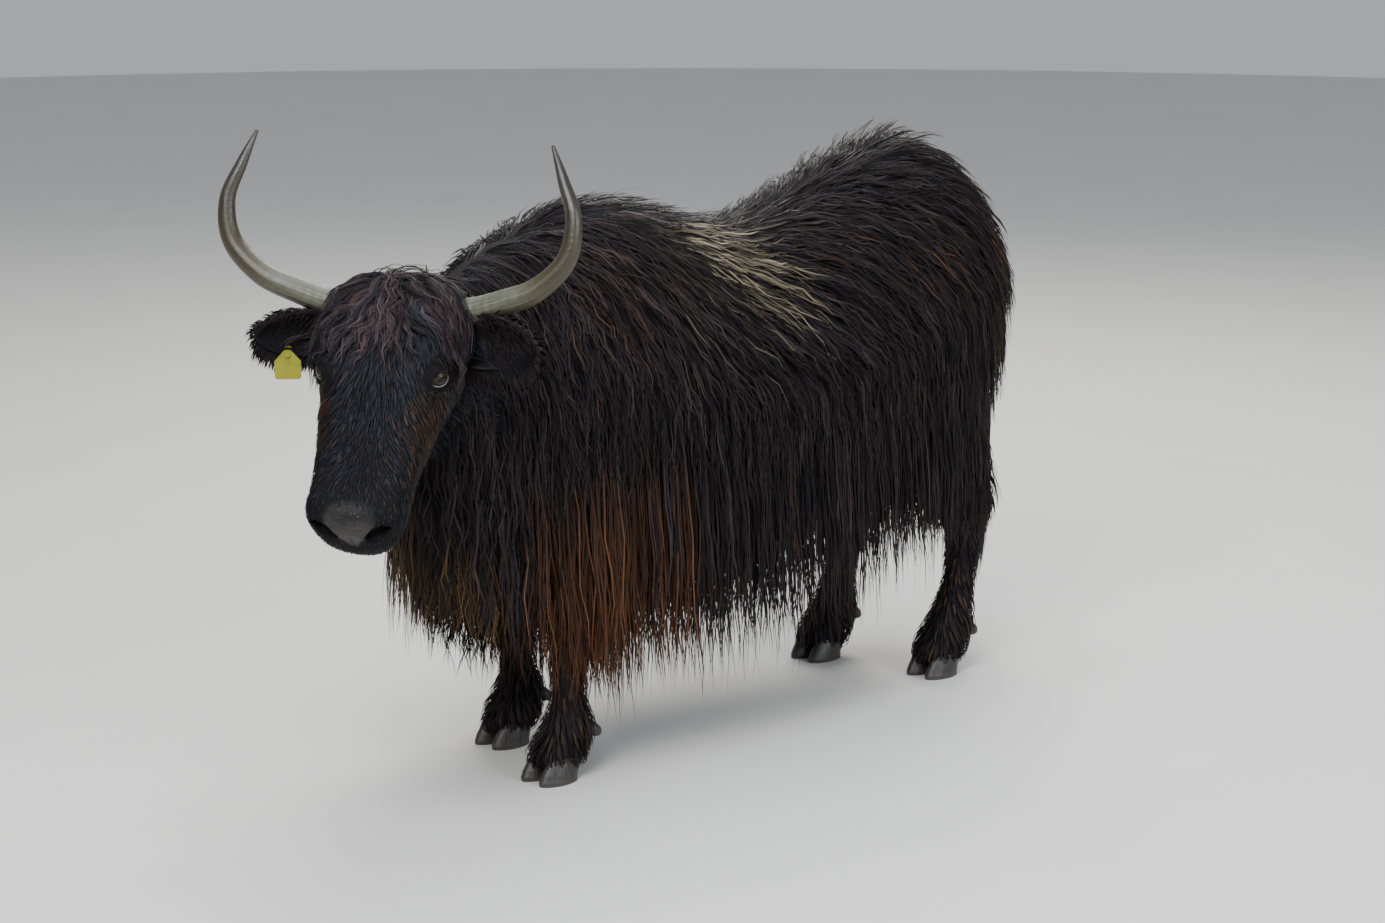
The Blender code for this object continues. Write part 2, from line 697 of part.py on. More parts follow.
def slab(centre, normal, width, height, thick=GAP):
    """A thin box, hidden, that parts what it crosses."""
    bm = bmesh.new()
    bmesh.ops.create_cube(bm, size=1.0)
    normal = normal.normalized()
    side = normal.cross(Vector((0, 0, 1))).normalized()
    up = side.cross(normal)
    turn = Matrix((side, up, normal)).transposed()
    for vert in bm.verts:
        vert.co = centre + turn @ Vector((vert.co.x * width, vert.co.y * height, vert.co.z * thick))
    return add_object("slab", face_out(bm), hidden=True)


def split_body(body):
    """The body parted into torso and neck by a thin upright cut before the shoulders."""
    blade = slab(Vector((0.02, -0.235, 0.75)), Vector((0.30, -1.0, 0.0)), 1.0, 1.2)
    cut(body, blade, "MANIFOLD")
    remove(blade)
    parts = loose_parts(body)
    parts.sort(key=lambda obj: len(obj.data.vertices))
    neck, torso = parts[-2:]
    if min(v.co.y for v in neck.data.vertices) > min(v.co.y for v in torso.data.vertices):
        neck, torso = torso, neck
    remove(*parts[:-2])
    neck.name, torso.name = "neck", "torso"
    return torso, neck


def loose_parts(obj):
    """The object's closed surfaces, each its own object."""
    bm = bmesh.new()
    bm.from_mesh(obj.data)
    bm.verts.ensure_lookup_table()
    left = set(bm.verts)
    parts = []
    while left:
        start = left.pop()
        part, edge = [start], [start]
        while edge:
            for link in edge.pop().link_edges:
                for vert in link.verts:
                    if vert in left:
                        left.remove(vert)
                        part.append(vert)
                        edge.append(vert)
        number = {vert: i for i, vert in enumerate(part)}
        faces = {face for vert in part for face in vert.link_faces}
        mesh = bpy.data.meshes.new("part")
        mesh.from_pydata([v.co[:] for v in part], [], [[number[v] for v in f.verts] for f in faces])
        mesh.materials.append(material("coat"))
        made = bpy.data.objects.new("part", mesh)
        bpy.context.scene.collection.objects.link(made)
        parts.append(made)
    bm.free()
    remove(obj)
    return parts


def body_core():
    """Torso and neck under the coat, as one smooth skin."""
    torso = loft([torso_ring(row, 36) for row in smooth_rows(TORSO, 40)])
    shells = [torso, loft(neck_rings(28, 16)), ellipsoid((0.0, -0.22, 0.50), (0.11, 0.07, 0.12))]
    return blended(add_object("body", join_bmesh(shells)), 0.016, 10, 680)


def surface(obj, grow=0.0):
    """The object's surface, for finding places on it or near it, moved out by a margin."""
    mesh = obj.data
    return BVHTree.FromPolygons([v.co + v.normal * grow for v in mesh.vertices],
                                [p.vertices[:] for p in mesh.polygons])


def lock_path(tree, root, flow, length, spans, depth, spread=0.0, hanging=False):
    """A lock's stations, each a place, the way it runs and the way out: over the surface, then hanging."""
    spot, out, _, _ = tree.find_nearest(root)
    if hanging:
        out = Vector((out.x, out.y, 0.0)).normalized()
    way = flow - out * flow.dot(out)
    way.normalize()
    stations = [(spot - out * ROOT_SUNK - way * 0.4 * ROOT_SUNK, way.copy(), out.copy())]
    step = length / spans
    fall = (out * (spread + 0.08) - Vector((0, 0, 1))).normalized()
    place = spot
    for i in range(1, spans + 1):
        lift = depth * (0.45 + 0.55 * i / spans)
        if not hanging:
            way = (flow - out * flow.dot(out)).normalized()
            place, out, _, _ = tree.find_nearest(spot + way * step)
            hanging = out.z < HANG_BELOW
            spot = place
            if hanging:
                out = Vector((stations[-1][2].x, stations[-1][2].y, 0.0)).normalized()
                fall = (out * spread - Vector((0, 0, 1))).normalized()
                way = fall
                place = stations[-1][0] + fall * step + out * 0.25 * lift
            else:
                place = place + out * lift
        else:
            way = fall
            place = place + fall * step
        stations.append((place, way.copy(), out.copy()))
    return stations


def lock_mesh(stations, width, thick, wave=0.0, phase=0.0):
    """A closed blade of three sides that tapers to a point, its triangles alike all the way down."""
    bm = bmesh.new()
    rings = []
    last = len(stations) - 1
    for i, (place, way, out) in enumerate(stations[:-1]):
        side = way.cross(out).normalized()
        face = side.cross(way).normalized()
        k = np.interp(i / last, np.linspace(0, 1, len(LOCK_WIDTHS) + 1), LOCK_WIDTHS + (0.0,))
        centre = place + side * (wave * math.sin(phase + 2.2 * i))
        rings.append([bm.verts.new(centre - side * (width / 2 * k)), bm.verts.new(centre + side * (width / 2 * k)),
                      bm.verts.new(centre + face * (thick * max(k, 0.55)))])
    tip = bm.verts.new(stations[-1][0])
    for near, far in zip(rings, rings[1:]):
        for i in range(3):
            j = (i + 1) % 3
            bm.faces.new((near[i], near[j], far[j]))
            bm.faces.new((near[i], far[j], far[i]))
    bm.faces.new(rings[0])
    for i in range(3):
        bm.faces.new((rings[-1][i], rings[-1][(i + 1) % 3], tip))
    return face_out(bm)


def clear_of(bm, others):
    tree = BVHTree.FromBMesh(bm)
    return not any(tree.overlap(other) for other in others)


def folded(bm):
    """True where a blade passes through itself."""
    tree = BVHTree.FromBMesh(bm)
    corners = [set(face.verts) for face in bm.faces]
    return any(corners[a].isdisjoint(corners[b]) for a, b in tree.overlap(tree))


def grow_lock(tree, others, root, flow, length, width, thick, depth, draw, lowest=0.0, spans=4, hanging=False):
    """One lock, made shorter or stood out further until it is clear of the others and of itself, or none."""
    for share, stand, spread in LOCK_TRIALS:
        reach, stand = length * share, depth * stand
        stations = lock_path(tree, root, flow, reach, spans, stand, spread, hanging)
        low = min(p.z for p, _, _ in stations)
        if low < lowest:
            top = stations[0][0].z
            squeeze = (top - lowest) / (top - low)
            reach *= max(0.4, squeeze)
            stations = lock_path(tree, root, flow, reach, spans, stand, spread, hanging)
        bm = lock_mesh(stations, width, thick, 0.05 * width, draw.uniform(0, 6.28))
        if clear_of(bm, others) and not folded(bm):
            return bm
        bm.free()
    return None


def tip_height(y):
    return np.interp(y, [r[0] for r in SKIRT], [r[1] for r in SKIRT])


def trunk_locks(body, others, draw):
    """The coat of torso and neck: rows of locks that lie down and back, the lowest hanging as a skirt."""
    tree = surface(body)
    made = []
    for angle, first, last, count, length, width, thick, depth, spans in TRUNK_ROWS:
        for side in (1, -1):
            for i in range(count):
                share = (i + draw.uniform(-0.25, 0.25) + (0.5 if side > 0 else 0.3)) / count
                y = first + (last - first) * share + 0.06 * side * (1.0 - share)
                turn = math.radians(angle + draw.uniform(-4, 4))
                ray = Vector((side * math.cos(turn), 0.0, math.sin(turn)))
                hit = tree.ray_cast(Vector((0, y, 0.72)) + ray * 1.2, -ray)[0]
                if hit is None:
                    continue
                flow = Vector((side * 0.20, 0.10 + 0.35 * max(0.0, math.sin(turn)) + draw.uniform(-0.10, 0.10), -1.0))
                tip = tip_height(y) + draw.uniform(-0.01, 0.045)
                reach = length * draw.uniform(0.88, 1.12)
                if angle < -30:
                    reach = hit.z - tip
                made.append(grow_lock(tree, others, hit, flow, reach, width * draw.uniform(0.9, 1.15),
                                      thick * draw.uniform(0.9, 1.2), depth * draw.uniform(0.8, 1.15), draw, tip,
                                      spans))
    first, last, count, length, width, thick, depth = SPINE_ROW
    for i in range(count):
        y = first + (last - first) * (i + 0.5) / count
        hit = tree.ray_cast(Vector((draw.uniform(-0.02, 0.02), y, 2.0)), Vector((0, 0, -1)))[0]
        flow = Vector((draw.uniform(-0.3, 0.3), 1.0, -0.2))
        made.append(grow_lock(tree, others, hit, flow, length, width, thick, depth, draw, 0.0, 3))
    length, width, thick, depth = RUMP_LOCK
    for side in (1, -1):
        for x, z in RUMP_ROWS:
            spot = Vector((side * (x + draw.uniform(-0.01, 0.01)), 2.0, z + draw.uniform(-0.02, 0.02)))
            hit = tree.ray_cast(spot, Vector((0, -1, 0)))[0]
            made.append(grow_lock(tree, others, hit, Vector((side * 0.12, 0.3, -1.0)), length, width, thick, depth,
                                  draw, 0.36, 3))
    path = smooth_rows(NECK, 31)
    for angle, first, last, count, length, width, thick, depth, spans in NECK_ROWS:
        for side in (1, -1):
            for i in range(count):
                share = first + (last - first) * (i + 0.5 + draw.uniform(-0.2, 0.2)) / count
                x, y, top, bottom, _ = path[int(share * 30)]
                before = path[max(0, int(share * 30) - 3)]
                ahead = Vector((x - before[0], y - before[1], 0.0)).normalized()
                turn = math.radians(angle + draw.uniform(-5, 5))
                across = Vector((-ahead.y, ahead.x, 0.0)) * side
                ray = across * math.cos(turn) + Vector((0, 0, math.sin(turn)))
                hit = tree.ray_cast(Vector((x, y, (top + bottom) / 2)) + ray * 0.8, -ray)[0]
                if hit is None:
                    continue
                flow = across * 0.2 - ahead * 0.35 * max(0.0, math.sin(turn)) + Vector((0, 0, -1))
                made.append(grow_lock(tree, others, hit, flow, length * draw.uniform(0.9, 1.15), width, thick, depth,
                                      draw, tip_height(y) + draw.uniform(0.0, 0.04), spans))
    first, last, count, length, width, thick, depth = THROAT_ROW
    for i in range(count):
        x, y, top, bottom, _ = path[int((first + (last - first) * (i + 0.5) / count) * 30)]
        hit = tree.ray_cast(Vector((x, y, 0.0)), Vector((0, 0, 1)))[0]
        flow = Vector((0.1, -0.3, -1.0))
        made.append(grow_lock(tree, others, hit, flow, length, width, thick, depth, draw, 0.30, 3))
    return [add_object("lock", bm) for bm in made if bm]


def forelock(head, others, draw):
    """The mop of the poll, which falls over the forehead and to the sides as far as the eyes."""
    tree = surface(head)
    x, y, z = head_axes()
    made = []
    for count, along, half, length in FORELOCK:
        for i in range(count):
            share = -1 + 2 * (i + 0.5 + draw.uniform(-0.2, 0.2)) / count
            root = head_point(half * share, along + draw.uniform(-0.006, 0.006), 0.12)
            hit = tree.ray_cast(root, -z)[0]
            if hit is None:
                continue
            flow = y + x * (0.75 * share) - z * 0.1
            made.append(grow_lock(tree, others, hit, flow, length * draw.uniform(0.85, 1.1), 0.042, 0.012,
                                  0.014 * draw.uniform(0.8, 1.3), draw, 0.0, 3))
    return [add_object("lock", bm) for bm in made if bm]


def tail_locks(dock, others, draw):
    """The brush of the tail, in tiers down its dock."""
    tree = surface(dock)
    path = smooth_rows(TAIL, 31)
    made = []
    for share, count, length in TAIL_LOCKS:
        y, z, radius = path[int(share * 30)]
        for i in range(count):
            turn = 2 * math.pi * (i + share * 2 + draw.uniform(-0.15, 0.15)) / count
            out = Vector((math.cos(turn), math.sin(turn), 0.0))
            root = Vector((0, y, z)) + out * radius
            made.append(grow_lock(tree, others, root, Vector((0, 0, -1)), length * draw.uniform(0.9, 1.1), 0.070, 0.022,
                                  0.030, draw, 0.14, 3, True))
    return [add_object("lock", bm) for bm in made if bm]


def ear_tag(ear):
    """A bare plate that hangs before the right ear, and a button behind it whose pin goes through both."""
    root, out, across, facing = ear_frame(-1)
    tree = BVHTree.FromPolygons([v.co for v in ear.data.vertices], [p.vertices for p in ear.data.polygons])
    start = root + out * TAG_OUT + across * (TAG_LOW if across.z < 0 else -TAG_LOW)
    axis = facing
    front = tree.ray_cast(start + axis * 0.1, -axis)[0]
    back = tree.ray_cast(start - axis * 0.1, axis)[0]
    down = Vector((0, 0, -1))
    down = (down - axis * down.dot(axis)).normalized()
    side = axis.cross(down)
    heights = []
    for x in np.linspace(-0.56, 0.56, 15):
        for y in np.linspace(-0.56, 0.56, 15):
            spot = front + side * (x * TAG_WIDTH) + down * ((y + 0.36) * TAG_HEIGHT)
            hit = tree.ray_cast(spot + axis * 0.1, -axis)[0]
            if hit:
                heights.append((hit - front).dot(axis))
    plate_at = front + axis * (max(heights) + TAG_CLEARANCE + TAG_THICKNESS / 2)
    outline = [(-0.5, 0.42), (-0.42, 0.5), (0.42, 0.5), (0.5, 0.42), (0.5, -0.12), (0.2, -0.42), (0.1, -0.5),
               (-0.1, -0.5), (-0.2, -0.42), (-0.5, -0.12)]
    rings = [[plate_at + axis * depth + side * (x * TAG_WIDTH) + down * ((y + 0.36) * TAG_HEIGHT)
              for x, y in outline] for depth in (-TAG_THICKNESS / 2, TAG_THICKNESS / 2)]
    plate = add_object("ear_tag_plate", loft(rings), "tag")
    behind = back - axis * TAG_CLEARANCE
    shape = ((-0.0030, 0.010), (0.0, 0.010), (0.0, PIN_RADIUS), (1.0, PIN_RADIUS), (1.0, 0.0045), (1.004, 0.0045))
    reach = (plate_at - behind).length + TAG_THICKNESS / 2 + GAP
    rings = []
    for depth, radius in shape:
        centre = behind + axis * (depth if depth < 0.5 else reach + depth - 1.0)
        rings.append([centre + (side * math.cos(t) + down * math.sin(t)) * radius
                      for t in np.linspace(0, 2 * math.pi, 10, endpoint=False)])
    button = add_object("ear_tag_button", loft(rings), "tag")
    cutter = swollen(button)
    cut(plate, cutter)
    cut(ear, cutter, "MANIFOLD")
    remove(cutter)
    return [plate, button]


def settle(nodes):
    """Moves every node so that the origin is under the middle of them all, on the floor."""
    points = np.concatenate([np.array([v.co for v in n.data.vertices]) for n in nodes])
    low, high = points.min(0), points.max(0)
    middle = Vector(((low[0] + high[0]) / 2, (low[1] + high[1]) / 2, low[2]))
    for node in nodes:
        node.data.transform(Matrix.Translation(-middle))


def main():
    clear_scene()
    draw = random.Random(SEED)
    head = mouth_and_nostrils(thinned(head_core(), 1200))
    skull = swollen(head)
    body = body_core()
    cut(body, skull, "MANIFOLD")
    horn_pair = horns()
    ear_pair = ears()
    for piece in horn_pair + ear_pair:
        cut(piece, skull)
        largest_part(piece)
    for ear, horn in zip(ear_pair, horn_pair):
        if surface(ear).overlap(surface(horn, CLEARANCE)):
            cutter = swollen(horn)
            cut(ear, cutter, "MANIFOLD")
            remove(cutter)
            largest_part(ear)
    for piece in horn_pair + ear_pair:
        cutter = swollen(piece)
        cut(body, cutter)
        remove(cutter)
    largest_part(body)
    eyes = eyes_and_lids(head)
    tags = ear_tag(ear_pair[1])
    remove(skull)
    legs = {
        "front_left": (FRONT_LEG, 1, STEP_FORWARD["front_left"]),
        "front_right": (FRONT_LEG, -1, STEP_FORWARD["front_right"]),
        "hind_left": (HIND_LEG, 1, STEP_FORWARD["hind_left"]),
        "hind_right": (HIND_LEG, -1, STEP_FORWARD["hind_right"]),
    }
    limbs = [leg(name, *what) for name, what in legs.items()]
    brush = tail()
    cutter = swollen(body)
    for piece in limbs + [brush]:
        cut(piece, cutter)
        largest_part(piece)
    remove(cutter)
    fuse(brush, tail_locks(brush, [surface(body, CLEARANCE)], draw))
    largest_part(brush)
    hooves = feet(legs)
    near_head = [surface(piece, CLEARANCE) for piece in horn_pair + ear_pair + tags + eyes + [body]]
    fuse(head, forelock(head, near_head, draw))
    largest_part(head)
    near_trunk = [surface(piece, CLEARANCE) for piece in [head, brush] + horn_pair + ear_pair + tags + limbs]
    fuse(body, trunk_locks(body, near_trunk, draw))
    torso, neck = split_body(body)
    settle([torso, neck, head, brush] + horn_pair + ear_pair + tags + eyes + limbs + hooves)


main()
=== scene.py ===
"""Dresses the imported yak: one skin over its flesh, a long coat of solid tufts, horns, eyes, hooves and ear tag.

The yak faces -Y with its head turned to its left, +X is its left and +Z is up. Shapes are worked out in the
yak's own measure, with the withers over the origin, and finished pieces are moved onto the frame by SHIFT.
"""

import math

import bmesh
import bpy
import numpy as np
from mathutils import Matrix, Vector, noise
from mathutils.bvhtree import BVHTree


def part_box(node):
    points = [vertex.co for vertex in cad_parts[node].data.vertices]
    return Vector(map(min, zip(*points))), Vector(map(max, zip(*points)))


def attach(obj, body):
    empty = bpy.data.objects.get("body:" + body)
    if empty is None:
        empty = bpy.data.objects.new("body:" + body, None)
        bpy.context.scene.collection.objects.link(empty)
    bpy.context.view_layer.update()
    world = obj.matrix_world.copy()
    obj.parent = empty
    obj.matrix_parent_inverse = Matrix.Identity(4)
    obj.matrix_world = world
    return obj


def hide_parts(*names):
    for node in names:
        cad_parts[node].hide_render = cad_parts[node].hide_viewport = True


bl_info = {
    "name": "Yak looks",
    "version": (1, 0, 0),
    "blender": (4, 5, 0),
    "location": "3D View > Sidebar > Yak",
    "description": "Skin, long coat, horns, eyes, hooves and ear tag of a standing yak",
    "category": "Object",
}

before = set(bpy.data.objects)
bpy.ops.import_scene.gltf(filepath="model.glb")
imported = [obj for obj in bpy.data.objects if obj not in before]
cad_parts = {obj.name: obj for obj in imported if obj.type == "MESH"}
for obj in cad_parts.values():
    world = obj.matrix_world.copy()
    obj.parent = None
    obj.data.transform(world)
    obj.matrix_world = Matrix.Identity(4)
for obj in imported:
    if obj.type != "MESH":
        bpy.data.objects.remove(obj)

# Driving dimensions, in metres
SHOULDER_HEIGHT = 1.07
BODY_LENGTH = 1.50
BODY_WIDTH = 0.54
HEAD_SCALE = 1.05

# The pose of the head: where the poll is, and how far it is turned and bowed
POLL = Vector((0.1655, -0.480, 0.9625))
HEAD_YAW = math.radians(32.5)
HEAD_PITCH = math.radians(50.5)
HEAD_ROLL = math.radians(-2.6)

# Along the body from brisket to buttock: share of the length, back line and belly line as shares of the
# shoulder height, half width as a share of the body's, and how square the section is
TORSO_FRONT = -0.34
TORSO = np.array([
    (0.00, 0.74, 0.52, 0.16, 2.0),
    (0.05, 0.83, 0.43, 0.58, 2.1),
    (0.14, 0.945, 0.38, 0.86, 2.2),
    (0.25, 1.005, 0.37, 0.96, 2.2),
    (0.34, 0.998, 0.37, 0.99, 2.3),
    (0.44, 0.960, 0.37, 1.00, 2.3),
    (0.53, 0.930, 0.37, 1.00, 2.3),
    (0.64, 0.968, 0.39, 1.00, 2.3),
    (0.76, 1.035, 0.41, 0.98, 2.3),
    (0.87, 1.055, 0.44, 0.91, 2.2),
    (0.95, 0.990, 0.50, 0.74, 2.2),
    (0.99, 0.90, 0.56, 0.46, 2.1),
    (1.00, 0.80, 0.64, 0.16, 2.0),
])

# Along the neck from inside the chest to inside the skull: sideways, along, top, bottom, half width
NECK = np.array([
    (0.000, 0.020, 1.050, 0.43, 0.200),
    (0.020, -0.120, 1.035, 0.41, 0.200),
    (0.065, -0.245, 1.005, 0.48, 0.178),
    (0.110, -0.355, 0.975, 0.59, 0.140),
    (0.145, -0.430, 0.945, 0.68, 0.105),
])

# How far the skin lies inside the outline above, under the coat: at the back, the flanks and the belly
SKIN_BACK = 0.020
SKIN_FLANK = 0.022
SKIN_BELLY = -0.055

# Along the head from nape to muzzle, before HEAD_SCALE: distance from the poll, half width, height above
# and depth below the axis, width of the jaw as a share of the skull's, and squareness
HEAD = np.array([
    (-0.042, 0.020, 0.004, 0.030, 0.80, 2.0),
    (-0.034, 0.062, 0.022, 0.076, 0.80, 2.0),
    (-0.006, 0.092, 0.043, 0.112, 0.78, 2.2),
    (0.045, 0.110, 0.060, 0.140, 0.72, 2.4),
    (0.105, 0.114, 0.070, 0.152, 0.64, 2.5),
    (0.160, 0.106, 0.064, 0.150, 0.61, 2.5),
    (0.211, 0.098, 0.055, 0.138, 0.68, 2.4),
    (0.271, 0.089, 0.050, 0.120, 0.76, 2.3),
    (0.322, 0.082, 0.050, 0.104, 0.82, 2.3),
    (0.365, 0.079, 0.050, 0.092, 0.86, 2.4),
    (0.400, 0.077, 0.046, 0.089, 0.86, 2.5),
    (0.424, 0.069, 0.036, 0.076, 0.84, 2.5),
    (0.437, 0.050, 0.020, 0.051, 0.82, 2.3),
    (0.442, 0.018, 0.006, 0.014, 0.80, 2.0),
])

# Swells and hollows of the head on its left side, mirrored to the right, before HEAD_SCALE:
# centre (left, along, up), height along the surface normal, and radius
HEAD_FORMS = (
    ((0.078, 0.118, 0.060), 0.011, 0.024),   # brow
    ((0.098, 0.202, 0.018), -0.005, 0.022),  # hollow before the eye
    ((0.104, 0.170, -0.030), 0.005, 0.024),  # cheekbone
    ((0.086, 0.110, -0.090), 0.009, 0.045),  # jaw muscle
    ((0.066, 0.280, -0.030), -0.004, 0.030),  # hollow of the cheek
    ((0.056, 0.400, 0.016), 0.008, 0.017),   # wing of the nostril
    ((0.032, 0.430, -0.026), 0.007, 0.018),  # upper lip
    ((0.022, 0.418, -0.066), 0.006, 0.022),  # lower lip
    ((0.000, 0.391, -0.080), 0.004, 0.026),  # chin
)

# Fine folds on the left side, mirrored: points (left, along, up), depth and width
MOUTH_LINE = ((0.000, 0.438, -0.038), (0.030, 0.435, -0.040), (0.055, 0.421, -0.044), (0.070, 0.396, -0.048),
              (0.074, 0.365, -0.050), (0.074, 0.331, -0.046), (0.075, 0.310, -0.040))
LIP_GROOVE = ((0.000, 0.446, 0.002), (0.000, 0.443, -0.016), (0.000, 0.440, -0.032))
NOSTRIL_FOLD = ((0.062, 0.424, -0.012), (0.074, 0.402, 0.000), (0.078, 0.376, 0.020))

# The nostril on the left side: points down its comma, each with the opening's radius
NOSTRIL = ((0.0240, 0.444, -0.002, 0.0060), (0.0330, 0.441, 0.003, 0.0105), (0.0440, 0.434, 0.011, 0.0130),
           (0.0550, 0.422, 0.015, 0.0110), (0.0640, 0.409, 0.013, 0.0050))

# Eyes, before HEAD_SCALE
EYE_AT = (0.0895, 0.157, 0.030)
EYE_LOOK = (0.76, 0.45, 0.34)
EYE_SLANT = 0.60  # how far the lids turn up from the line of the face towards the bridge
EYE_RADIUS = 0.0205
LID_THICKNESS = 0.0040
LID_HALF_LENGTH = 0.0205
LID_HALF_HEIGHT = 0.0128
EYE_BARE = (0.0235, 0.0150)  # half length and half height of the rim that hair keeps clear of
FRONT_AND_UP = np.array((0.23, 0.44, 0.87))  # left, along and up

# Horns: sideways, up and forward of the poll, at true size, with the horn's radius there
HORN = np.array([
    (0.078, -0.022, 0.000, 0.0240),
    (0.134, -0.011, 0.012, 0.0234),
    (0.186, 0.007, 0.022, 0.0225),
    (0.247, 0.034, 0.028, 0.0207),
    (0.298, 0.087, 0.026, 0.0178),
    (0.309, 0.156, 0.016, 0.0143),
    (0.287, 0.219, 0.000, 0.0102),
    (0.264, 0.276, -0.018, 0.0030),
])

# Ears at true size
EAR_AT = (0.092, 0.055, -0.020)
EAR_LENGTH = 0.160
EAR_HALF_WIDTH = {1: 0.052, -1: 0.042}  # left, right
EAR_THICKNESS = 0.007
EAR_SWEEP = -0.30  # how far they point back

# Legs: the joints of the left one from hidden top to pastern (sideways, along, up, radius across, radius along)
FRONT_LEG = np.array([
    (0.122, 0.040, 0.560, 0.052, 0.080),
    (0.120, 0.020, 0.430, 0.050, 0.066),
    (0.122, -0.010, 0.310, 0.042, 0.050),
    (0.124, -0.018, 0.235, 0.036, 0.040),
    (0.123, -0.014, 0.150, 0.034, 0.038),
    (0.122, -0.014, 0.100, 0.047, 0.052),
    (0.120, -0.035, 0.062, 0.052, 0.054),
    (0.120, -0.050, 0.030, 0.050, 0.056),
])
HIND_LEG = np.array([
    (0.135, 0.900, 0.660, 0.060, 0.105),
    (0.138, 0.945, 0.500, 0.056, 0.088),
    (0.136, 1.010, 0.385, 0.043, 0.056),
    (0.134, 1.018, 0.310, 0.037, 0.047),
    (0.132, 0.990, 0.185, 0.034, 0.039),
    (0.130, 0.965, 0.105, 0.047, 0.052),
    (0.130, 0.940, 0.062, 0.052, 0.055),
    (0.130, 0.925, 0.030, 0.050, 0.056),
])
LEGS = {
    "front_left": (FRONT_LEG, 1, -0.055),
    "front_right": (FRONT_LEG, -1, 0.035),
    "hind_left": (HIND_LEG, 1, 0.030),
    "hind_right": (HIND_LEG, -1, -0.050),
}
LEG_FUR = 0.004  # how far the skin of the legs lies inside their fur
CLAW_LENGTH = 0.088
CLAW_WIDTH = 0.046
CLAW_SPREAD = 0.0255

TAIL = np.array([  # along, up, radius of the dock under its hair
    (1.040, 0.925, 0.030),
    (1.120, 0.945, 0.034),
    (1.165, 0.890, 0.036),
    (1.180, 0.780, 0.036),
    (1.186, 0.660, 0.034),
    (1.188, 0.540, 0.030),
    (1.186, 0.440, 0.024),
    (1.184, 0.360, 0.010),
])

# Height of the coat's tips above the floor, along the body
SKIRT = ((-0.34, 0.33), (-0.26, 0.29), (-0.18, 0.19), (0.00, 0.135), (0.30, 0.155), (0.60, 0.20), (0.85, 0.26),
         (1.12, 0.34))

TAG_WIDTH = 0.046
TAG_HEIGHT = 0.052
TAG_THICKNESS = 0.0020

BODY_VOXEL = 0.013
HEAD_VOXEL = 0.0022
HEAD_SHARE = 0.38  # of the head's triangles, kept where its form turns
PIECE_TRIANGLES = 190000
DOWN = Vector((0, 0, -1))


def head_axes():
    """The head's left, along and up directions, one to a row."""
    ahead = Vector((math.sin(HEAD_YAW), -math.cos(HEAD_YAW), 0.0))
    left = Vector((math.cos(HEAD_YAW), math.sin(HEAD_YAW), 0.0))
    along = ahead * math.cos(HEAD_PITCH) - Vector((0, 0, math.sin(HEAD_PITCH)))
    roll = Matrix.Rotation(HEAD_ROLL, 3, along)
    up = left.cross(along) * -1.0
    return np.array([roll @ left, along, roll @ up])


AXES = head_axes()
AHEAD = np.array([math.sin(HEAD_YAW), -math.cos(HEAD_YAW), 0.0])


def head_point(places):
    """Places on the head (left, along, up), given before HEAD_SCALE, in the yak's measure."""
    return np.array(POLL) + np.asarray(places, float) @ AXES * HEAD_SCALE


def on_head(points):
    """The other way: points of the yak as places on the head."""
    return (np.asarray(points, float) - np.array(POLL)) @ AXES.T / HEAD_SCALE


def frame_shift():
    """What moves the yak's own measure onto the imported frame, from where the left eye is there."""
    low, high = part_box("eye_left")
    return (np.array(low) + np.array(high)) / 2 - head_point(EYE_AT)


SHIFT = frame_shift()


def unit(vectors):
    return vectors / np.maximum(np.linalg.norm(vectors, axis=-1, keepdims=True), 1e-9)


def smooth_rows(rows, count):
    """The table's rows read at evenly spaced places along its first column, on a smooth curve."""
    rows = np.asarray(rows, float)
    at = np.linspace(0.0, len(rows) - 1.0, count)
    low = np.minimum(at.astype(int), len(rows) - 2)
    t = (at - low)[:, None]
    slope = np.gradient(rows, axis=0)
    a, b, ma, mb = rows[low], rows[low + 1], slope[low], slope[low + 1]
    return ((2 * t**3 - 3 * t**2 + 1) * a + (t**3 - 2 * t**2 + t) * ma
            + (3 * t**2 - 2 * t**3) * b + (t**3 - t**2) * mb)


def power(value, squareness):
    """A superellipse's share: round at squareness 2, boxier above it."""
    return np.sign(value) * np.abs(value) ** (2.0 / squareness)


def around(sides):
    """Angles evenly round a ring."""
    return np.linspace(0, 2 * math.pi, sides, endpoint=False)


def tube(rings):
    """A closed bmesh over rings of points: a grid rolled up, its seam merged and its ends filled."""
    rings = np.asarray(rings, float)
    count, sides = rings.shape[:2]
    bm = bmesh.new()
    bmesh.ops.create_grid(bm, x_segments=sides, y_segments=count - 1, size=1.0)
    for vert in bm.verts:
        column = round((vert.co.x + 1) / 2 * sides) % sides
        row = round((vert.co.y + 1) / 2 * (count - 1))
        vert.co = rings[row, column]
    bmesh.ops.remove_doubles(bm, verts=bm.verts, dist=1e-6)
    ends = bmesh.ops.holes_fill(bm, edges=[e for e in bm.edges if e.is_boundary], sides=0)["faces"]
    bmesh.ops.poke(bm, faces=ends)
    bmesh.ops.recalc_face_normals(bm, faces=bm.faces)
    return bm


def ellipsoid(centre, radii, turn, segments=32):
    """A closed ball stretched to radii along the turn's columns."""
    bm = bmesh.new()
    bmesh.ops.create_uvsphere(bm, u_segments=segments, v_segments=segments // 2, radius=1.0)
    for vert in bm.verts:
        vert.co = Vector(centre) + turn @ Vector(c * r for c, r in zip(vert.co, radii))
    bmesh.ops.recalc_face_normals(bm, faces=bm.faces)
    return bm


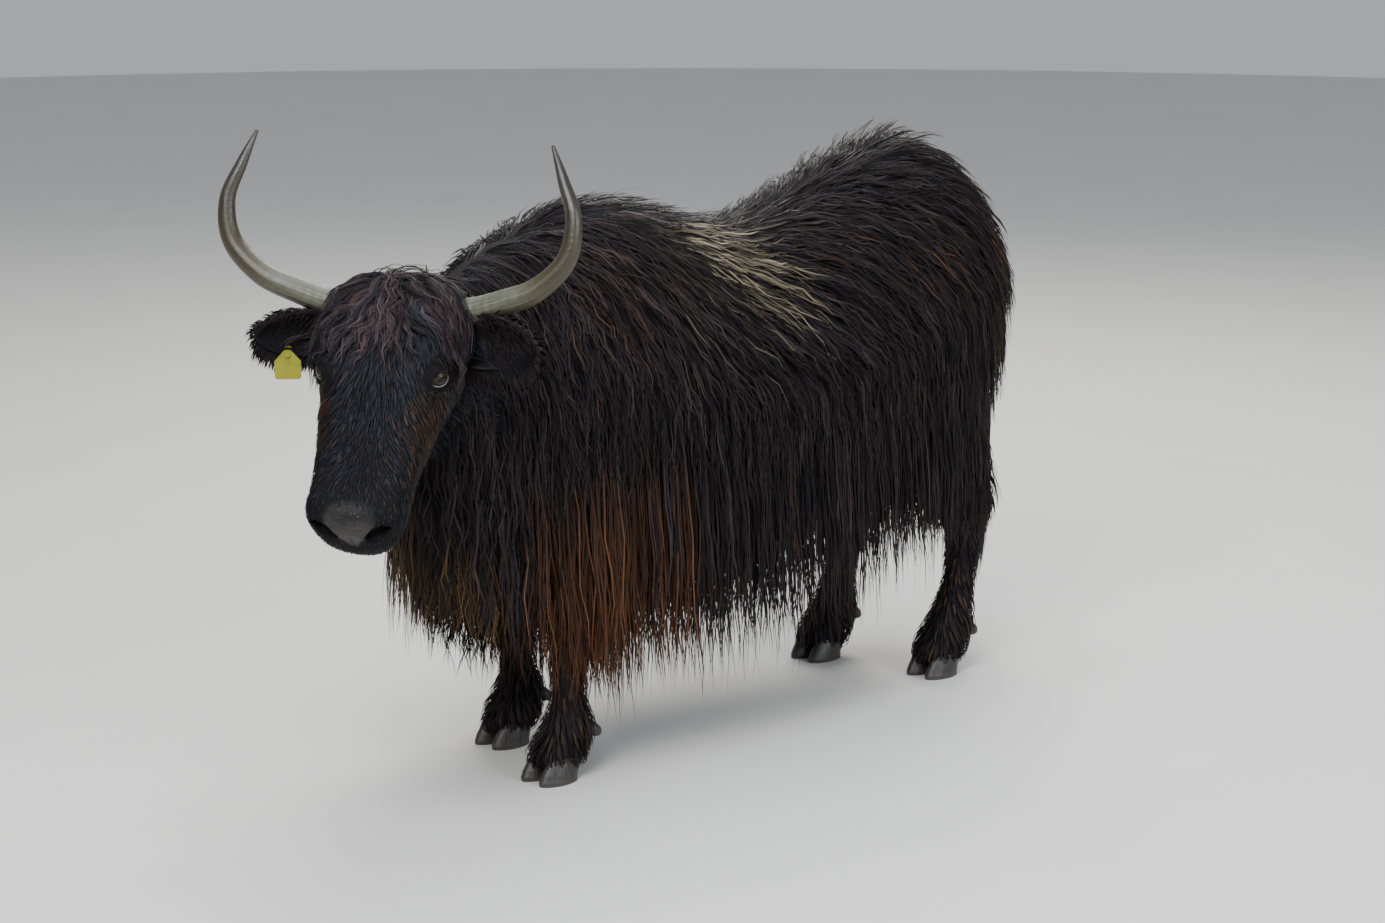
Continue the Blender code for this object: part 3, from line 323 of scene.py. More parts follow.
def joined(parts):
    """One bmesh that holds several, each still its own closed shell."""
    whole = bmesh.new()
    for part in parts:
        mesh = bpy.data.meshes.new("part")
        part.to_mesh(mesh)
        part.free()
        whole.from_mesh(mesh)
        bpy.data.meshes.remove(mesh)
    return whole


def add_object(name, bm):
    """A smooth-shaded object from a bmesh, which it frees."""
    mesh = bpy.data.meshes.new(name)
    bm.to_mesh(mesh)
    bm.free()
    mesh.shade_smooth()
    obj = bpy.data.objects.new(name, mesh)
    bpy.context.scene.collection.objects.link(obj)
    return obj


def applied(obj):
    """The object with its modifiers made part of its mesh."""
    bpy.context.view_layer.update()
    made = bpy.data.meshes.new_from_object(obj.evaluated_get(bpy.context.evaluated_depsgraph_get()))
    obj.modifiers.clear()
    old = obj.data
    obj.data = made
    bpy.data.meshes.remove(old)
    made.name = obj.name
    return obj


def remeshed(obj, voxel, passes):
    """The object's shells as one even skin, smoothed over."""
    skin = obj.modifiers.new("skin", "REMESH")
    skin.mode = "VOXEL"
    skin.voxel_size = voxel
    soften = obj.modifiers.new("soften", "SMOOTH")
    soften.factor = 0.5
    soften.iterations = passes
    return applied(obj)


def thinned(obj, share):
    """The object with fewer triangles where it is flat."""
    thin = obj.modifiers.new("thin", "DECIMATE")
    thin.ratio = share
    return applied(obj)


def combined(obj, other, operation):
    """The object joined with the other, or with the other's space taken out, which then goes."""
    boolean = obj.modifiers.new("combine", "BOOLEAN")
    boolean.operation = operation
    boolean.object = other
    boolean.solver = "MANIFOLD"
    applied(obj)
    bpy.data.objects.remove(other, do_unlink=True)
    return obj


def coordinates(mesh):
    flat = np.empty(len(mesh.vertices) * 3, np.float32)
    mesh.vertices.foreach_get("co", flat)
    return flat.reshape(-1, 3).astype(float)


def vertex_normals(mesh):
    flat = np.empty(len(mesh.vertices) * 3, np.float32)
    mesh.vertex_normals.foreach_get("vector", flat)
    return flat.reshape(-1, 3).astype(float)


def move_vertices(mesh, points):
    mesh.vertices.foreach_set("co", points.astype(np.float32).ravel())
    mesh.update()


def point_attribute(mesh, name, values):
    """Keeps a number, or a colour, on each vertex."""
    kind = "FLOAT" if values.ndim == 1 else "FLOAT_COLOR"
    attribute = mesh.attributes.new(name, kind, "POINT")
    if values.ndim == 2:
        values = np.column_stack([values, np.ones(len(values))])
        attribute.data.foreach_set("color", values.astype(np.float32).ravel())
    else:
        attribute.data.foreach_set("value", values.astype(np.float32))


def finished(obj, material, slot, *replaced):
    """Moves a piece onto the frame, gives it its material and hides the nodes that it stands for. The slot is not used.
    """
    obj.data.transform(Matrix.Translation(Vector(SHIFT)))
    obj.data.shade_smooth()
    obj.data.materials.clear()
    obj.data.materials.append(material)
    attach(obj, "root")
    if replaced:
        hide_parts(*replaced)
    return obj


# Forms of the body

def torso_rings(sides, count):
    rings = []
    turn = around(sides)
    c, s = np.cos(turn), np.sin(turn)
    narrow = 1.0 - 0.28 * np.maximum(0.0, s) ** 1.5
    for share, top, bottom, half, square in smooth_rows(TORSO, count):
        high = top * SHOULDER_HEIGHT - SKIN_BACK
        low = bottom * SHOULDER_HEIGHT - SKIN_BELLY
        middle = low + (high - low) * 0.46
        wide = max(0.01, half * BODY_WIDTH / 2 - SKIN_FLANK * half)
        x = power(c, square) * wide * narrow
        z = middle + power(s, square) * np.where(s > 0, high - middle, middle - low)
        rings.append(np.column_stack([x, np.full(sides, TORSO_FRONT + share * BODY_LENGTH), z]))
    return rings


def neck_rings(sides, count):
    """Rings from the chest to the skull, on a line that bends to the left."""
    rows = smooth_rows(NECK, count)
    path = np.column_stack([rows[:, 0], rows[:, 1], (rows[:, 2] + rows[:, 3]) / 2])
    ahead = np.gradient(path, axis=0)
    turn = around(sides)
    c, s = np.cos(turn), np.sin(turn)
    rings = []
    for place, way, row in zip(path, ahead, rows):
        side = unit(np.array([-way[1], way[0], 0.0]))
        tall = (row[2] - row[3]) / 2 - SKIN_BACK
        wide = (row[4] - SKIN_FLANK) * c * (1.0 - 0.30 * np.maximum(0.0, s))
        rings.append(place + np.outer(wide, side) + np.outer(tall * s, (0, 0, 1)))
    return rings


def leg_path(name, count):
    """A leg's joints from hidden top to pastern, with the foot moved forward or back by its step."""
    rows, side, forward = LEGS[name]
    reach = rows[0][2]
    path = smooth_rows(rows, count)
    path[:, 1] += forward * (0.45 + 0.55 * np.minimum(1.0, (reach - path[:, 2]) / (reach - 0.15)))
    path[:, 0] *= side
    return path


def leg_rings(name, sides, count):
    turn = around(sides)
    rings = []
    for x, y, z, across, along in leg_path(name, count):
        rings.append(np.column_stack([x + (across - LEG_FUR) * np.cos(turn), y + (along - LEG_FUR) * np.sin(turn),
                                      np.full(sides, z)]))
    return rings


def dock_rings(sides, count):
    rows = smooth_rows(TAIL, count)
    path = np.column_stack([np.zeros(count), rows[:, 0], rows[:, 1]])
    ways = unit(np.gradient(path, axis=0))
    turn = around(sides)
    rings = []
    for place, way, radius in zip(path, ways, rows[:, 2]):
        up = np.cross((1.0, 0.0, 0.0), way)
        rings.append(place + np.outer(radius * 0.95 * np.cos(turn), (1, 0, 0)) + np.outer(radius * 0.6 * np.sin(turn), up))
    return rings


def head_rings(sides, count):
    turn = around(sides)
    c, s = np.cos(turn), np.sin(turn)
    rings = []
    for along, half, up, down, jaw, square in smooth_rows(HEAD, count):
        narrow = 1.0 - (1.0 - jaw) * np.maximum(0.0, -s) ** 1.3
        rings.append(np.column_stack([power(c, square) * half * narrow, np.full(sides, along),
                                      power(s, square) * np.where(s > 0, up, down)]))
    return rings


def head_shell():
    """The head's own form, with its swells and hollows."""
    bm = tube(head_rings(160, 170))
    bm.normal_update()
    points = np.array([v.co for v in bm.verts])
    normals = np.array([v.normal for v in bm.verts])
    lift = np.zeros(len(points))
    for centre, height, radius in HEAD_FORMS:
        for side in ((1, -1) if centre[0] else (1,)):
            away = ((points - np.array(centre) * (side, 1, 1)) ** 2).sum(1)
            lift += height * np.exp(-away / (2 * radius**2))
    points = head_point(points + normals * lift[:, None])
    for vert, point in zip(bm.verts, points):
        vert.co = point
    bmesh.ops.recalc_face_normals(bm, faces=bm.faces)
    return bm


def eye_frame(side):
    """An eye's centre, and a turn whose Z looks out and whose X runs along the lids."""
    x, y, z = (Vector(axis) for axis in AXES)
    centre = Vector(head_point((EYE_AT[0] * side, EYE_AT[1], EYE_AT[2])))
    look = (x * EYE_LOOK[0] * side + y * EYE_LOOK[1] + z * EYE_LOOK[2]).normalized()
    along = y + z * EYE_SLANT
    along = (along - look * along.dot(look)).normalized()
    across = look.cross(along)
    return centre, Matrix((along, across, look)).transposed()


def ear_frame(side):
    """An ear's root, and its directions: out along the ear, across it, and the way its cup faces."""
    x = AXES[0] * side
    root = head_point((EAR_AT[0] * side, EAR_AT[1], EAR_AT[2])) - AHEAD * 0.004
    out = unit(x - np.array((0, 0, 0.12)) - AHEAD * EAR_SWEEP)
    facing = AHEAD + x * 0.15 - np.array((0, 0, 0.10))
    facing = unit(facing - out * facing.dot(out))
    return root, out, np.cross(facing, out) * side, facing


def ear_point(side, u, v, lift=0.0):
    """A place on the ear's cup: u along it, v across it from -1 to 1, and lift towards the way it faces."""
    root, out, across, facing = ear_frame(side)
    half = EAR_HALF_WIDTH[side] * (0.42 + 0.58 * math.sin(math.pi * min(1.0, 0.12 + u * 0.80)) ** 0.8)
    half *= math.sqrt(max(0.0, 1.0 - max(0.0, (u - 0.55) / 0.47) ** 2.4))
    open_angle = math.radians(82 - 30 * u)
    if v * (1 if across[2] < 0 else -1) < 0:
        v *= min(1.0, 0.45 + u * 1.4)
    bend = v * open_angle
    reach = half / math.sin(open_angle)
    return root + out * (EAR_LENGTH * u) + across * (reach * math.sin(bend)) + facing * (
        lift - reach * (math.cos(bend) - 0.5))


def ear_shell(side):
    """A leaf-shaped cup, thick at the root and thin at the rim."""
    bm = bmesh.new()
    bmesh.ops.create_grid(bm, x_segments=28, y_segments=24, size=1.0)
    for vert in bm.verts:
        vert.co = ear_point(side, (vert.co.x + 1) / 2, vert.co.y)
    bm.normal_update()
    bmesh.ops.solidify(bm, geom=bm.faces, thickness=EAR_THICKNESS)
    bmesh.ops.recalc_face_normals(bm, faces=bm.faces)
    return bm


def crease(points, places, depth, width):
    """How deep a fold along the places cuts each point, all in the head's own measure."""
    line = smooth_rows(places, 40)
    low, high = line.min(0) - 4 * width, line.max(0) + 4 * width
    near = np.all((points > low) & (points < high), axis=1)
    cut = np.zeros(len(points))
    if near.any():
        away = ((points[near][:, None, :] - line[None, :, :]) ** 2).sum(2).min(1)
        cut[near] = depth * np.exp(-away / (2 * width**2))
    return cut


def lid_arc(side, length, height, first, last):
    """Places on the head along an arc round the eye, from one angle to another."""
    centre, turn = eye_frame(side)
    lid = (EYE_RADIUS * HEAD_SCALE + LID_THICKNESS) * 1.02
    arc = []
    for t in np.radians(np.linspace(first, last, 14)):
        x, y = length * math.cos(t), height * math.sin(t)
        z = math.sqrt(max(0.2 * lid**2, lid**2 - (x / 1.55) ** 2 - (y / 1.2) ** 2))
        arc.append(centre + turn @ Vector((x, y, z)))
    return on_head(arc)


def upper(side):
    """Which way round the eye's frame its upper lid lies."""
    _, turn = eye_frame(side)
    return 1 if (turn @ Vector((0, 1, 0))).dot(Vector(AXES[2])) > 0 else -1


def fine_folds(head):
    """Presses the folds of lids, lips and nostrils into the head's mesh."""
    mesh = head.data
    points, normals = coordinates(mesh), vertex_normals(mesh)
    places = on_head(points)
    cut = np.zeros(len(points))
    for side in (1, -1):
        flip = np.array((side, 1, 1))
        cut += crease(places, np.array(MOUTH_LINE) * flip, 0.0075, 0.0022)
        cut += crease(places, np.array(NOSTRIL_FOLD) * flip, 0.0030, 0.0035)
        up = upper(side)
        cut += crease(places, lid_arc(side, 0.0250, 0.0168 * up, 10, 165), 0.0024, 0.0014)
        cut += crease(places, lid_arc(side, 0.0315, 0.0225 * up, 25, 155), 0.0020, 0.0016)
        cut += crease(places, lid_arc(side, 0.0240, -0.0160 * up, 15, 165), 0.0022, 0.0015)
        cut += crease(places, lid_arc(side, 0.0300, -0.0215 * up, 30, 150), 0.0014, 0.0018)
    cut += crease(places, LIP_GROOVE, 0.0035, 0.0022)
    move_vertices(mesh, points - normals * np.minimum(cut, 0.009)[:, None])


def nostril_cutter(side):
    """The comma of a nostril, as a solid to take out."""
    rows = smooth_rows(NOSTRIL, 12)
    path = head_point(rows[:, :3] * (side, 1, 1))
    ways = unit(np.gradient(path, axis=0))
    inward = -unit(AXES[1] * 0.9 + AXES[0] * side * 0.35 + AXES[2] * 0.1)
    rings = []
    turn = around(16)
    for place, way, radius in zip(path, ways, rows[:, 3]):
        across = unit(np.cross(way, inward))
        rings.append(place + np.outer(radius * np.cos(turn), across) + np.outer(0.016 * np.sin(turn), inward))
    return tube(rings)


def eye_cutters(side):
    """The eyeball's socket and the almond that opens the lids over it."""
    centre, turn = eye_frame(side)
    r = EYE_RADIUS * HEAD_SCALE
    ball = ellipsoid(centre, (r, r, r), turn, 48)
    rim = lid_rim(48)
    rings = [[centre + turn @ Vector((x * grow, y * grow, depth)) for x, y in rim]
             for depth, grow in ((r * 0.45, 0.96), (r * 1.6, 1.25))]
    return [ball, tube(rings)]


def lid_rim(count):
    """The almond of the open lids: across and up from the eye's middle."""
    turn = around(count)
    return np.column_stack([LID_HALF_LENGTH * np.cos(turn),
                            LID_HALF_HEIGHT * np.sign(np.sin(turn)) * np.abs(np.sin(turn)) ** 1.3])


# Markings

BLACK = np.array((0.0058, 0.0050, 0.0058))
SOOT = np.array((0.0135, 0.0095, 0.0100))
# Painted bluish sheen: a grey-blue that stands for a blue highlight on black hair, given to hair tips
BLUE_SHEEN = np.array((0.0125, 0.0142, 0.0195))
PLUM = np.array((0.0270, 0.0165, 0.0165))
CHESTNUT = np.array((0.040, 0.0210, 0.0130))
RUST = np.array((0.072, 0.030, 0.0135))
UMBER = np.array((0.030, 0.0175, 0.0105))
STRAW = np.array((0.205, 0.172, 0.116))
GOLD = np.array((0.160, 0.092, 0.036))

# Where other colours show in the coat: middle (either side alike), radii, colour, and share of the locks there
MARKS = (
    ((0.180, 0.310, 1.005), (0.13, 0.110, 0.100), STRAW, 0.66),
    ((0.190, 0.370, 0.920), (0.13, 0.110, 0.110), STRAW * 0.70, 0.55),
    ((0.140, 0.455, 1.030), (0.15, 0.110, 0.060), STRAW * 0.50, 0.52),
    ((0.190, 0.130, 0.960), (0.14, 0.100, 0.110), STRAW * 0.26, 0.42),
    ((0.170, 0.010, 0.900), (0.16, 0.120, 0.150), CHESTNUT, 0.40),
    ((0.190, 0.800, 0.920), (0.12, 0.110, 0.090), CHESTNUT * 1.1, 0.40),
    ((0.190, 0.600, 0.960), (0.12, 0.120, 0.080), CHESTNUT * 0.8, 0.32),
    ((0.120, 1.060, 0.860), (0.16, 0.060, 0.200), GOLD * 0.45, 0.46),
    ((0.210, -0.040, 0.270), (0.15, 0.210, 0.150), RUST, 0.84),
    ((0.220, 0.420, 0.280), (0.15, 0.340, 0.120), CHESTNUT, 0.30),
    # Golden-brown chest fringe: partly its own colour, partly painted rim light
    ((0.030, -0.310, 0.350), (0.16, 0.120, 0.130), GOLD * 0.55, 0.66),
)


def mark_shares(points):
    """For each mark, its colour and the share of hairs at the points that have it."""
    side = np.abs(points[:, 0])
    for middle, radii, colour, most in MARKS:
        away = (((side - middle[0]) / radii[0]) ** 2 + ((points[:, 1] - middle[1]) / radii[1]) ** 2
                + ((points[:, 2] - middle[2]) / radii[2]) ** 2)
        yield colour, most * np.exp(-0.6 * away**1.5)


def coat_colours(points, locks, light, draw, rooted=0.45):
    """The root and tip colours of hairs by the points, much alike within each lock; roots keep a share. Light carries
    the painted shade across each lock.
    """
    count = len(points)
    own = draw.random(locks.max() + 1)[locks] * 0.45 + draw.random(count) * 0.55
    tone = draw.normal(0, 0.20, locks.max() + 1)[locks] + draw.normal(0, 0.16, count)
    # Light is the painted shade across each lock, here mixed with random tone
    shade = (np.exp(tone) * light)[:, None]
    root = np.where(draw.random((count, 1)) < 0.5, BLACK, SOOT) * shade
    tip = root * 1.3 + UMBER * draw.uniform(0.0, 0.32, (count, 1)) * light[:, None]
    for colour, chance in mark_shares(points):
        chosen = (0.05 + own * 0.90 < chance)[:, None]
        root = np.where(chosen, colour * shade * rooted + BLACK * (1 - rooted), root)
        tip = np.where(chosen, colour * shade * draw.uniform(0.45, 1.15, (count, 1)), tip)
    return root, tip


def skin_colours(points):
    """The skin's own shade of the same markings."""
    colour = np.tile(BLACK * 0.6, (len(points), 1))
    for tone, share in mark_shares(points):
        weight = (share * 0.4)[:, None]
        colour = colour * (1 - weight) + tone * 0.3 * weight
    return colour


# Materials

def new_material(name):
    """An empty node material with its Principled shader wired to the output."""
    made = bpy.data.materials.new(name)
    made.use_nodes = True
    return made, made.node_tree, made.node_tree.nodes["Principled BSDF"]


def add_node(tree, kind, sockets=None, **settings):
    """A node with its settings and socket values; a socket given as another node's output is linked."""
    node = tree.nodes.new(kind)
    for key, value in settings.items():
        setattr(node, key, value)
    for key, value in (sockets or {}).items():
        if isinstance(value, bpy.types.NodeSocket):
            tree.links.new(value, node.inputs[key])
        else:
            node.inputs[key].default_value = value
    return node


def mapped_range(tree, value, low, high, to_low, to_high):
    node = add_node(tree, "ShaderNodeMapRange", {"Value": value, "From Min": low, "From Max": high,
                                                 "To Min": to_low, "To Max": to_high})
    return node.outputs["Result"]


def mixed(tree, factor, first, second, blend="MIX"):
    node = tree.nodes.new("ShaderNodeMix")
    node.data_type = "RGBA"
    node.blend_type = blend
    for socket, value in ((node.inputs[0], factor), (node.inputs[6], first), (node.inputs[7], second)):
        if isinstance(value, bpy.types.NodeSocket):
            tree.links.new(value, socket)
        else:
            socket.default_value = value
    return node.outputs[2]


def bumped(tree, shader, height, strength, distance, normal=None):
    sockets = {"Height": height, "Strength": strength, "Distance": distance}
    if normal is not None:
        sockets["Normal"] = normal
    bump = add_node(tree, "ShaderNodeBump", sockets)
    tree.links.new(bump.outputs["Normal"], shader.inputs["Normal"])
    return bump.outputs["Normal"]


def hair_material(name, roughness):
    """Hair in tufts: its own colour, broken into single hairs by fine streaks along each tuft."""
    material, tree, shader = new_material(name)
    colour = add_node(tree, "ShaderNodeAttribute", attribute_name="hair_colour").outputs["Color"]
    lie = add_node(tree, "ShaderNodeUVMap", uv_map="lie").outputs["UV"]
    stretch = add_node(tree, "ShaderNodeMapping", {"Vector": lie, "Scale": (9.0, 0.55, 1.0)}).outputs["Vector"]
    streaks = add_node(tree, "ShaderNodeTexNoise", {"Vector": stretch, "Scale": 1.0, "Detail": 3.0,
                                                   "Roughness": 0.6}).outputs["Fac"]
    depth = mapped_range(tree, streaks, 0.3, 0.7, 0.45, 1.5)
    tone = add_node(tree, "ShaderNodeVectorMath", {0: colour, "Scale": depth}, operation="SCALE").outputs["Vector"]
    tree.links.new(tone, shader.inputs["Base Color"])
    tangent = add_node(tree, "ShaderNodeTangent", direction_type="UV_MAP", uv_map="lie").outputs["Tangent"]
    tree.links.new(tangent, shader.inputs["Tangent"])
    shader.inputs["Roughness"].default_value = roughness
    shader.inputs["Anisotropic"].default_value = 0.6
    shader.inputs["Specular IOR Level"].default_value = 0.08
    shader.inputs["Specular Tint"].default_value = (0.80, 0.88, 1.0, 1.0)
    bumped(tree, shader, streaks, 0.5, 0.0008)
    return material


def skin_material(colours):
    """The hide under the coat: short lying fur as bump, a bare leathery nose with a painted wet sheen toward its lower
    edge, and painted shade in the cracks between its pebbles.
    """
    material, tree, shader = new_material("hide")
    place = add_node(tree, "ShaderNodeTexCoord").outputs["Object"]
    coat = add_node(tree, "ShaderNodeAttribute", attribute_name="hair_colour").outputs["Color"]
    bare = add_node(tree, "ShaderNodeAttribute", attribute_name="bare").outputs["Fac"]
    painted_sheen = add_node(tree, "ShaderNodeAttribute", attribute_name="painted_sheen").outputs["Fac"]
    crack = add_node(tree, "ShaderNodeTexVoronoi", {"Vector": place, "Scale": 330.0}, feature="DISTANCE_TO_EDGE")
    pebbles = mapped_range(tree, crack.outputs["Distance"], 0.0, 0.20, 0.25, 1.0)
    fuzz = add_node(tree, "ShaderNodeTexNoise", {"Vector": place, "Scale": 260.0, "Detail": 4.0}).outputs["Fac"]
    blotch = add_node(tree, "ShaderNodeTexNoise", {"Vector": place, "Scale": 38.0, "Detail": 3.0}).outputs["Fac"]
    dark = (*colours.nose_dark, 1.0)
    light = (*colours.nose_light, 1.0)
    leather = mixed(tree, mapped_range(tree, blotch, 0.35, 0.7, 0.0, 1.0), dark, light)
    # Painted wet sheen: the pad painted paler toward its lower edge
    leather = mixed(tree, painted_sheen, leather, (*(c * 2.6 for c in colours.nose_light), 1.0))
    # Painted shade: the cracks between the pebbles painted near black
    leather = mixed(tree, pebbles, (0.006, 0.005, 0.005, 1.0), leather)
    fur = mixed(tree, mapped_range(tree, fuzz, 0.35, 0.65, 0.0, 1.0), coat,
                mixed(tree, 1.0, coat, (1.9, 1.9, 1.9, 1.0), "MULTIPLY"))
    tree.links.new(mixed(tree, bare, fur, leather), shader.inputs["Base Color"])
    tree.links.new(mapped_range(tree, bare, 0.0, 1.0, 0.75, 0.40), shader.inputs["Roughness"])
    tree.links.new(mapped_range(tree, bare, 0.0, 1.0, 0.08, 0.30), shader.inputs["Specular IOR Level"])
    height = mixed(tree, bare, fuzz, pebbles)
    bumped(tree, shader, height, 0.75, 0.0016)
    return material


def horn_material(colours):
    """Horn: pale striated root, olive-brown middle, dark worn tip, with fine rings and grain, and painted shade that
    turns its underside olive-brown.
    """
    material, tree, shader = new_material("horn")
    share = add_node(tree, "ShaderNodeAttribute", attribute_name="share").outputs["Fac"]
    under = add_node(tree, "ShaderNodeAttribute", attribute_name="under").outputs["Fac"]
    lie = add_node(tree, "ShaderNodeUVMap", uv_map="lie").outputs["UV"]
    long_grain = add_node(tree, "ShaderNodeMapping", {"Vector": lie, "Scale": (18.0, 3.2, 1.0)}).outputs["Vector"]
    grain = add_node(tree, "ShaderNodeTexNoise", {"Vector": long_grain, "Scale": 1.0, "Detail": 5.0,
                                                 "Roughness": 0.65}).outputs["Fac"]
    cross = add_node(tree, "ShaderNodeMapping", {"Vector": lie, "Scale": (5.0, 60.0, 1.0)}).outputs["Vector"]
    rings = add_node(tree, "ShaderNodeTexNoise", {"Vector": cross, "Scale": 1.0, "Detail": 3.0}).outputs["Fac"]
    ramp = add_node(tree, "ShaderNodeValToRGB", {"Fac": share})
    stops = ((0.0, colours.horn_pale, 0.45), (0.16, colours.horn_pale, 1.0), (0.34, colours.horn_pale, 0.72),
             (0.46, colours.horn_olive, 1.1), (0.66, colours.horn_olive, 0.62), (0.84, colours.horn_tip, 1.0))
    elements = ramp.color_ramp.elements
    while len(elements) < len(stops):
        elements.new(0.5)
    for element, (place, colour, gain) in zip(elements, stops):
        element.position = place
        element.color = (*(c * gain for c in colour), 1.0)
    # Painted shade: the underside is painted towards the olive-brown
    belly = mixed(tree, mapped_range(tree, under, 0.35, 0.95, 0.0, 0.85), ramp.outputs["Color"],
                  (*colours.horn_olive, 1.0))
    streaked = mixed(tree, mapped_range(tree, grain, 0.40, 0.62, 0.0, 0.85), belly,
                     mixed(tree, 1.0, belly, (0.35, 0.30, 0.24, 1.0), "MULTIPLY"))
    ringed = mixed(tree, mapped_range(tree, rings, 0.45, 0.75, 0.0, 0.45), streaked,
                   mixed(tree, 1.0, streaked, (0.5, 0.46, 0.4, 1.0), "MULTIPLY"))
    tree.links.new(ringed, shader.inputs["Base Color"])
    tree.links.new(mapped_range(tree, share, 0.2, 0.8, 0.48, 0.30), shader.inputs["Roughness"])
    first = bumped(tree, shader, grain, 0.6, 0.0010)
    bumped(tree, shader, rings, 0.4, 0.0010, first)
    return material


def eye_material(colours):
    """A wet dark eye: brown iris, long dark pupil and grey-brown white at its edge, drawn on the ball."""
    material, tree, shader = new_material("eye_wet")
    lie = add_node(tree, "ShaderNodeUVMap", uv_map="lie").outputs["UV"]
    split = add_node(tree, "ShaderNodeSeparateXYZ", {"Vector": lie})
    across, up = split.outputs["X"], split.outputs["Y"]
    ring = add_node(tree, "ShaderNodeVectorMath", {0: lie}, operation="LENGTH").outputs["Value"]
    fibres = add_node(tree, "ShaderNodeTexNoise", {"Vector": lie, "Scale": 26.0, "Detail": 4.0}).outputs["Fac"]
    iris = mixed(tree, mapped_range(tree, fibres, 0.35, 0.7, 0.0, 1.0), (*colours.iris, 1.0),
                 (0.012, 0.008, 0.006, 1.0))
    wide = add_node(tree, "ShaderNodeMath", {0: across, 1: 0.44}, operation="MULTIPLY").outputs["Value"]
    flat = add_node(tree, "ShaderNodeCombineXYZ", {"X": wide, "Y": up}).outputs["Vector"]
    slot = add_node(tree, "ShaderNodeVectorMath", {0: flat}, operation="LENGTH").outputs["Value"]
    pupil = mixed(tree, mapped_range(tree, slot, 0.17, 0.22, 0.0, 1.0), (0.002, 0.002, 0.003, 1.0), iris)
    edge = mixed(tree, mapped_range(tree, ring, 0.60, 0.70, 0.0, 1.0), pupil, (0.055, 0.040, 0.032, 1.0))
    tree.links.new(edge, shader.inputs["Base Color"])
    shader.inputs["Roughness"].default_value = 0.03
    shader.inputs["Specular IOR Level"].default_value = 0.16
    return material


def lid_material():
    """The moist bare edge of the lids."""
    material, tree, shader = new_material("lid_edge")
    place = add_node(tree, "ShaderNodeTexCoord").outputs["Object"]
    blotch = add_node(tree, "ShaderNodeTexNoise", {"Vector": place, "Scale": 500.0, "Detail": 3.0}).outputs["Fac"]
    tone = mixed(tree, mapped_range(tree, blotch, 0.35, 0.65, 0.0, 1.0), (0.035, 0.030, 0.030, 1.0),
                 (0.120, 0.112, 0.108, 1.0))
    tree.links.new(tone, shader.inputs["Base Color"])
    shader.inputs["Roughness"].default_value = 0.25
    bumped(tree, shader, blotch, 0.3, 0.0004)
    return material


def hoof_material():
    """Hoof horn: dark, with pale upright streaks, growth rings and a dusty lower edge."""
    material, tree, shader = new_material("hoof_horn")
    place = add_node(tree, "ShaderNodeTexCoord").outputs["Object"]
    tall = add_node(tree, "ShaderNodeMapping", {"Vector": place, "Scale": (260.0, 260.0, 22.0)}).outputs["Vector"]
    streaks = add_node(tree, "ShaderNodeTexNoise", {"Vector": tall, "Scale": 1.0, "Detail": 4.0}).outputs["Fac"]
    flat = add_node(tree, "ShaderNodeMapping", {"Vector": place, "Scale": (14.0, 14.0, 330.0)}).outputs["Vector"]
    rings = add_node(tree, "ShaderNodeTexNoise", {"Vector": flat, "Scale": 1.0, "Detail": 2.0}).outputs["Fac"]
    tone = mixed(tree, mapped_range(tree, streaks, 0.4, 0.75, 0.0, 1.0), (0.008, 0.007, 0.007, 1.0),
                 (0.038, 0.031, 0.025, 1.0))
    height = add_node(tree, "ShaderNodeSeparateXYZ", {"Vector": place}).outputs["Z"]
    dust = mixed(tree, mapped_range(tree, height, 0.0, 0.016, 0.5, 0.0), tone, (0.06, 0.05, 0.04, 1.0))
    tree.links.new(dust, shader.inputs["Base Color"])
    shader.inputs["Roughness"].default_value = 0.5
    first = bumped(tree, shader, streaks, 0.3, 0.0006)
    bumped(tree, shader, rings, 0.4, 0.001, first)
    return material


def tag_material(colours):
    """Soft yellow plastic with a faint grain, scuffs and grime."""
    material, tree, shader = new_material("tag_plastic")
    place = add_node(tree, "ShaderNodeTexCoord").outputs["Object"]
    grain = add_node(tree, "ShaderNodeTexNoise", {"Vector": place, "Scale": 900.0, "Detail": 2.0}).outputs["Fac"]
    grime = add_node(tree, "ShaderNodeTexNoise", {"Vector": place, "Scale": 70.0, "Detail": 5.0}).outputs["Fac"]
    yellow = (*colours.tag, 1.0)
    tone = mixed(tree, mapped_range(tree, grime, 0.50, 0.75, 0.0, 0.6), yellow, (0.13, 0.13, 0.012, 1.0))
    tree.links.new(tone, shader.inputs["Base Color"])
    tree.links.new(mapped_range(tree, grime, 0.4, 0.7, 0.34, 0.6), shader.inputs["Roughness"])
    shader.inputs["Subsurface Weight"].default_value = 0.1
    bumped(tree, shader, grain, 0.15, 0.0004)
    return material


def floor_material(colours):
    """Plain pale studio floor with a very faint mottle."""
    material, tree, shader = new_material("studio_floor")
    place = add_node(tree, "ShaderNodeTexCoord").outputs["Object"]
    mottle = add_node(tree, "ShaderNodeTexNoise", {"Vector": place, "Scale": 3.0, "Detail": 4.0}).outputs["Fac"]
    tone = mixed(tree, mapped_range(tree, mottle, 0.3, 0.7, 0.0, 1.0), (*(c * 0.97 for c in colours.floor), 1.0),
                 (*colours.floor, 1.0))
    tree.links.new(tone, shader.inputs["Base Color"])
    shader.inputs["Roughness"].default_value = 0.7
    return material


# Hair

def pad_mask(places):
    """How bare the skin is at places on the head: 1 on the nose pad, which narrows between the nostrils."""
    side, along, up = np.abs(places[:, 0]), places[:, 1], places[:, 2]
    reach = np.interp(up, (-0.030, -0.012, 0.006, 0.024, 0.040, 0.054),
                      (0.007, 0.016, 0.033, 0.049, 0.046, 0.026))
    front = np.clip((along - 0.395 - 6.0 * side**2) / 0.012, 0, 1)
    return front * np.clip((reach - side) / 0.013, 0, 1) * np.clip((up + 0.031) / 0.006, 0, 1)


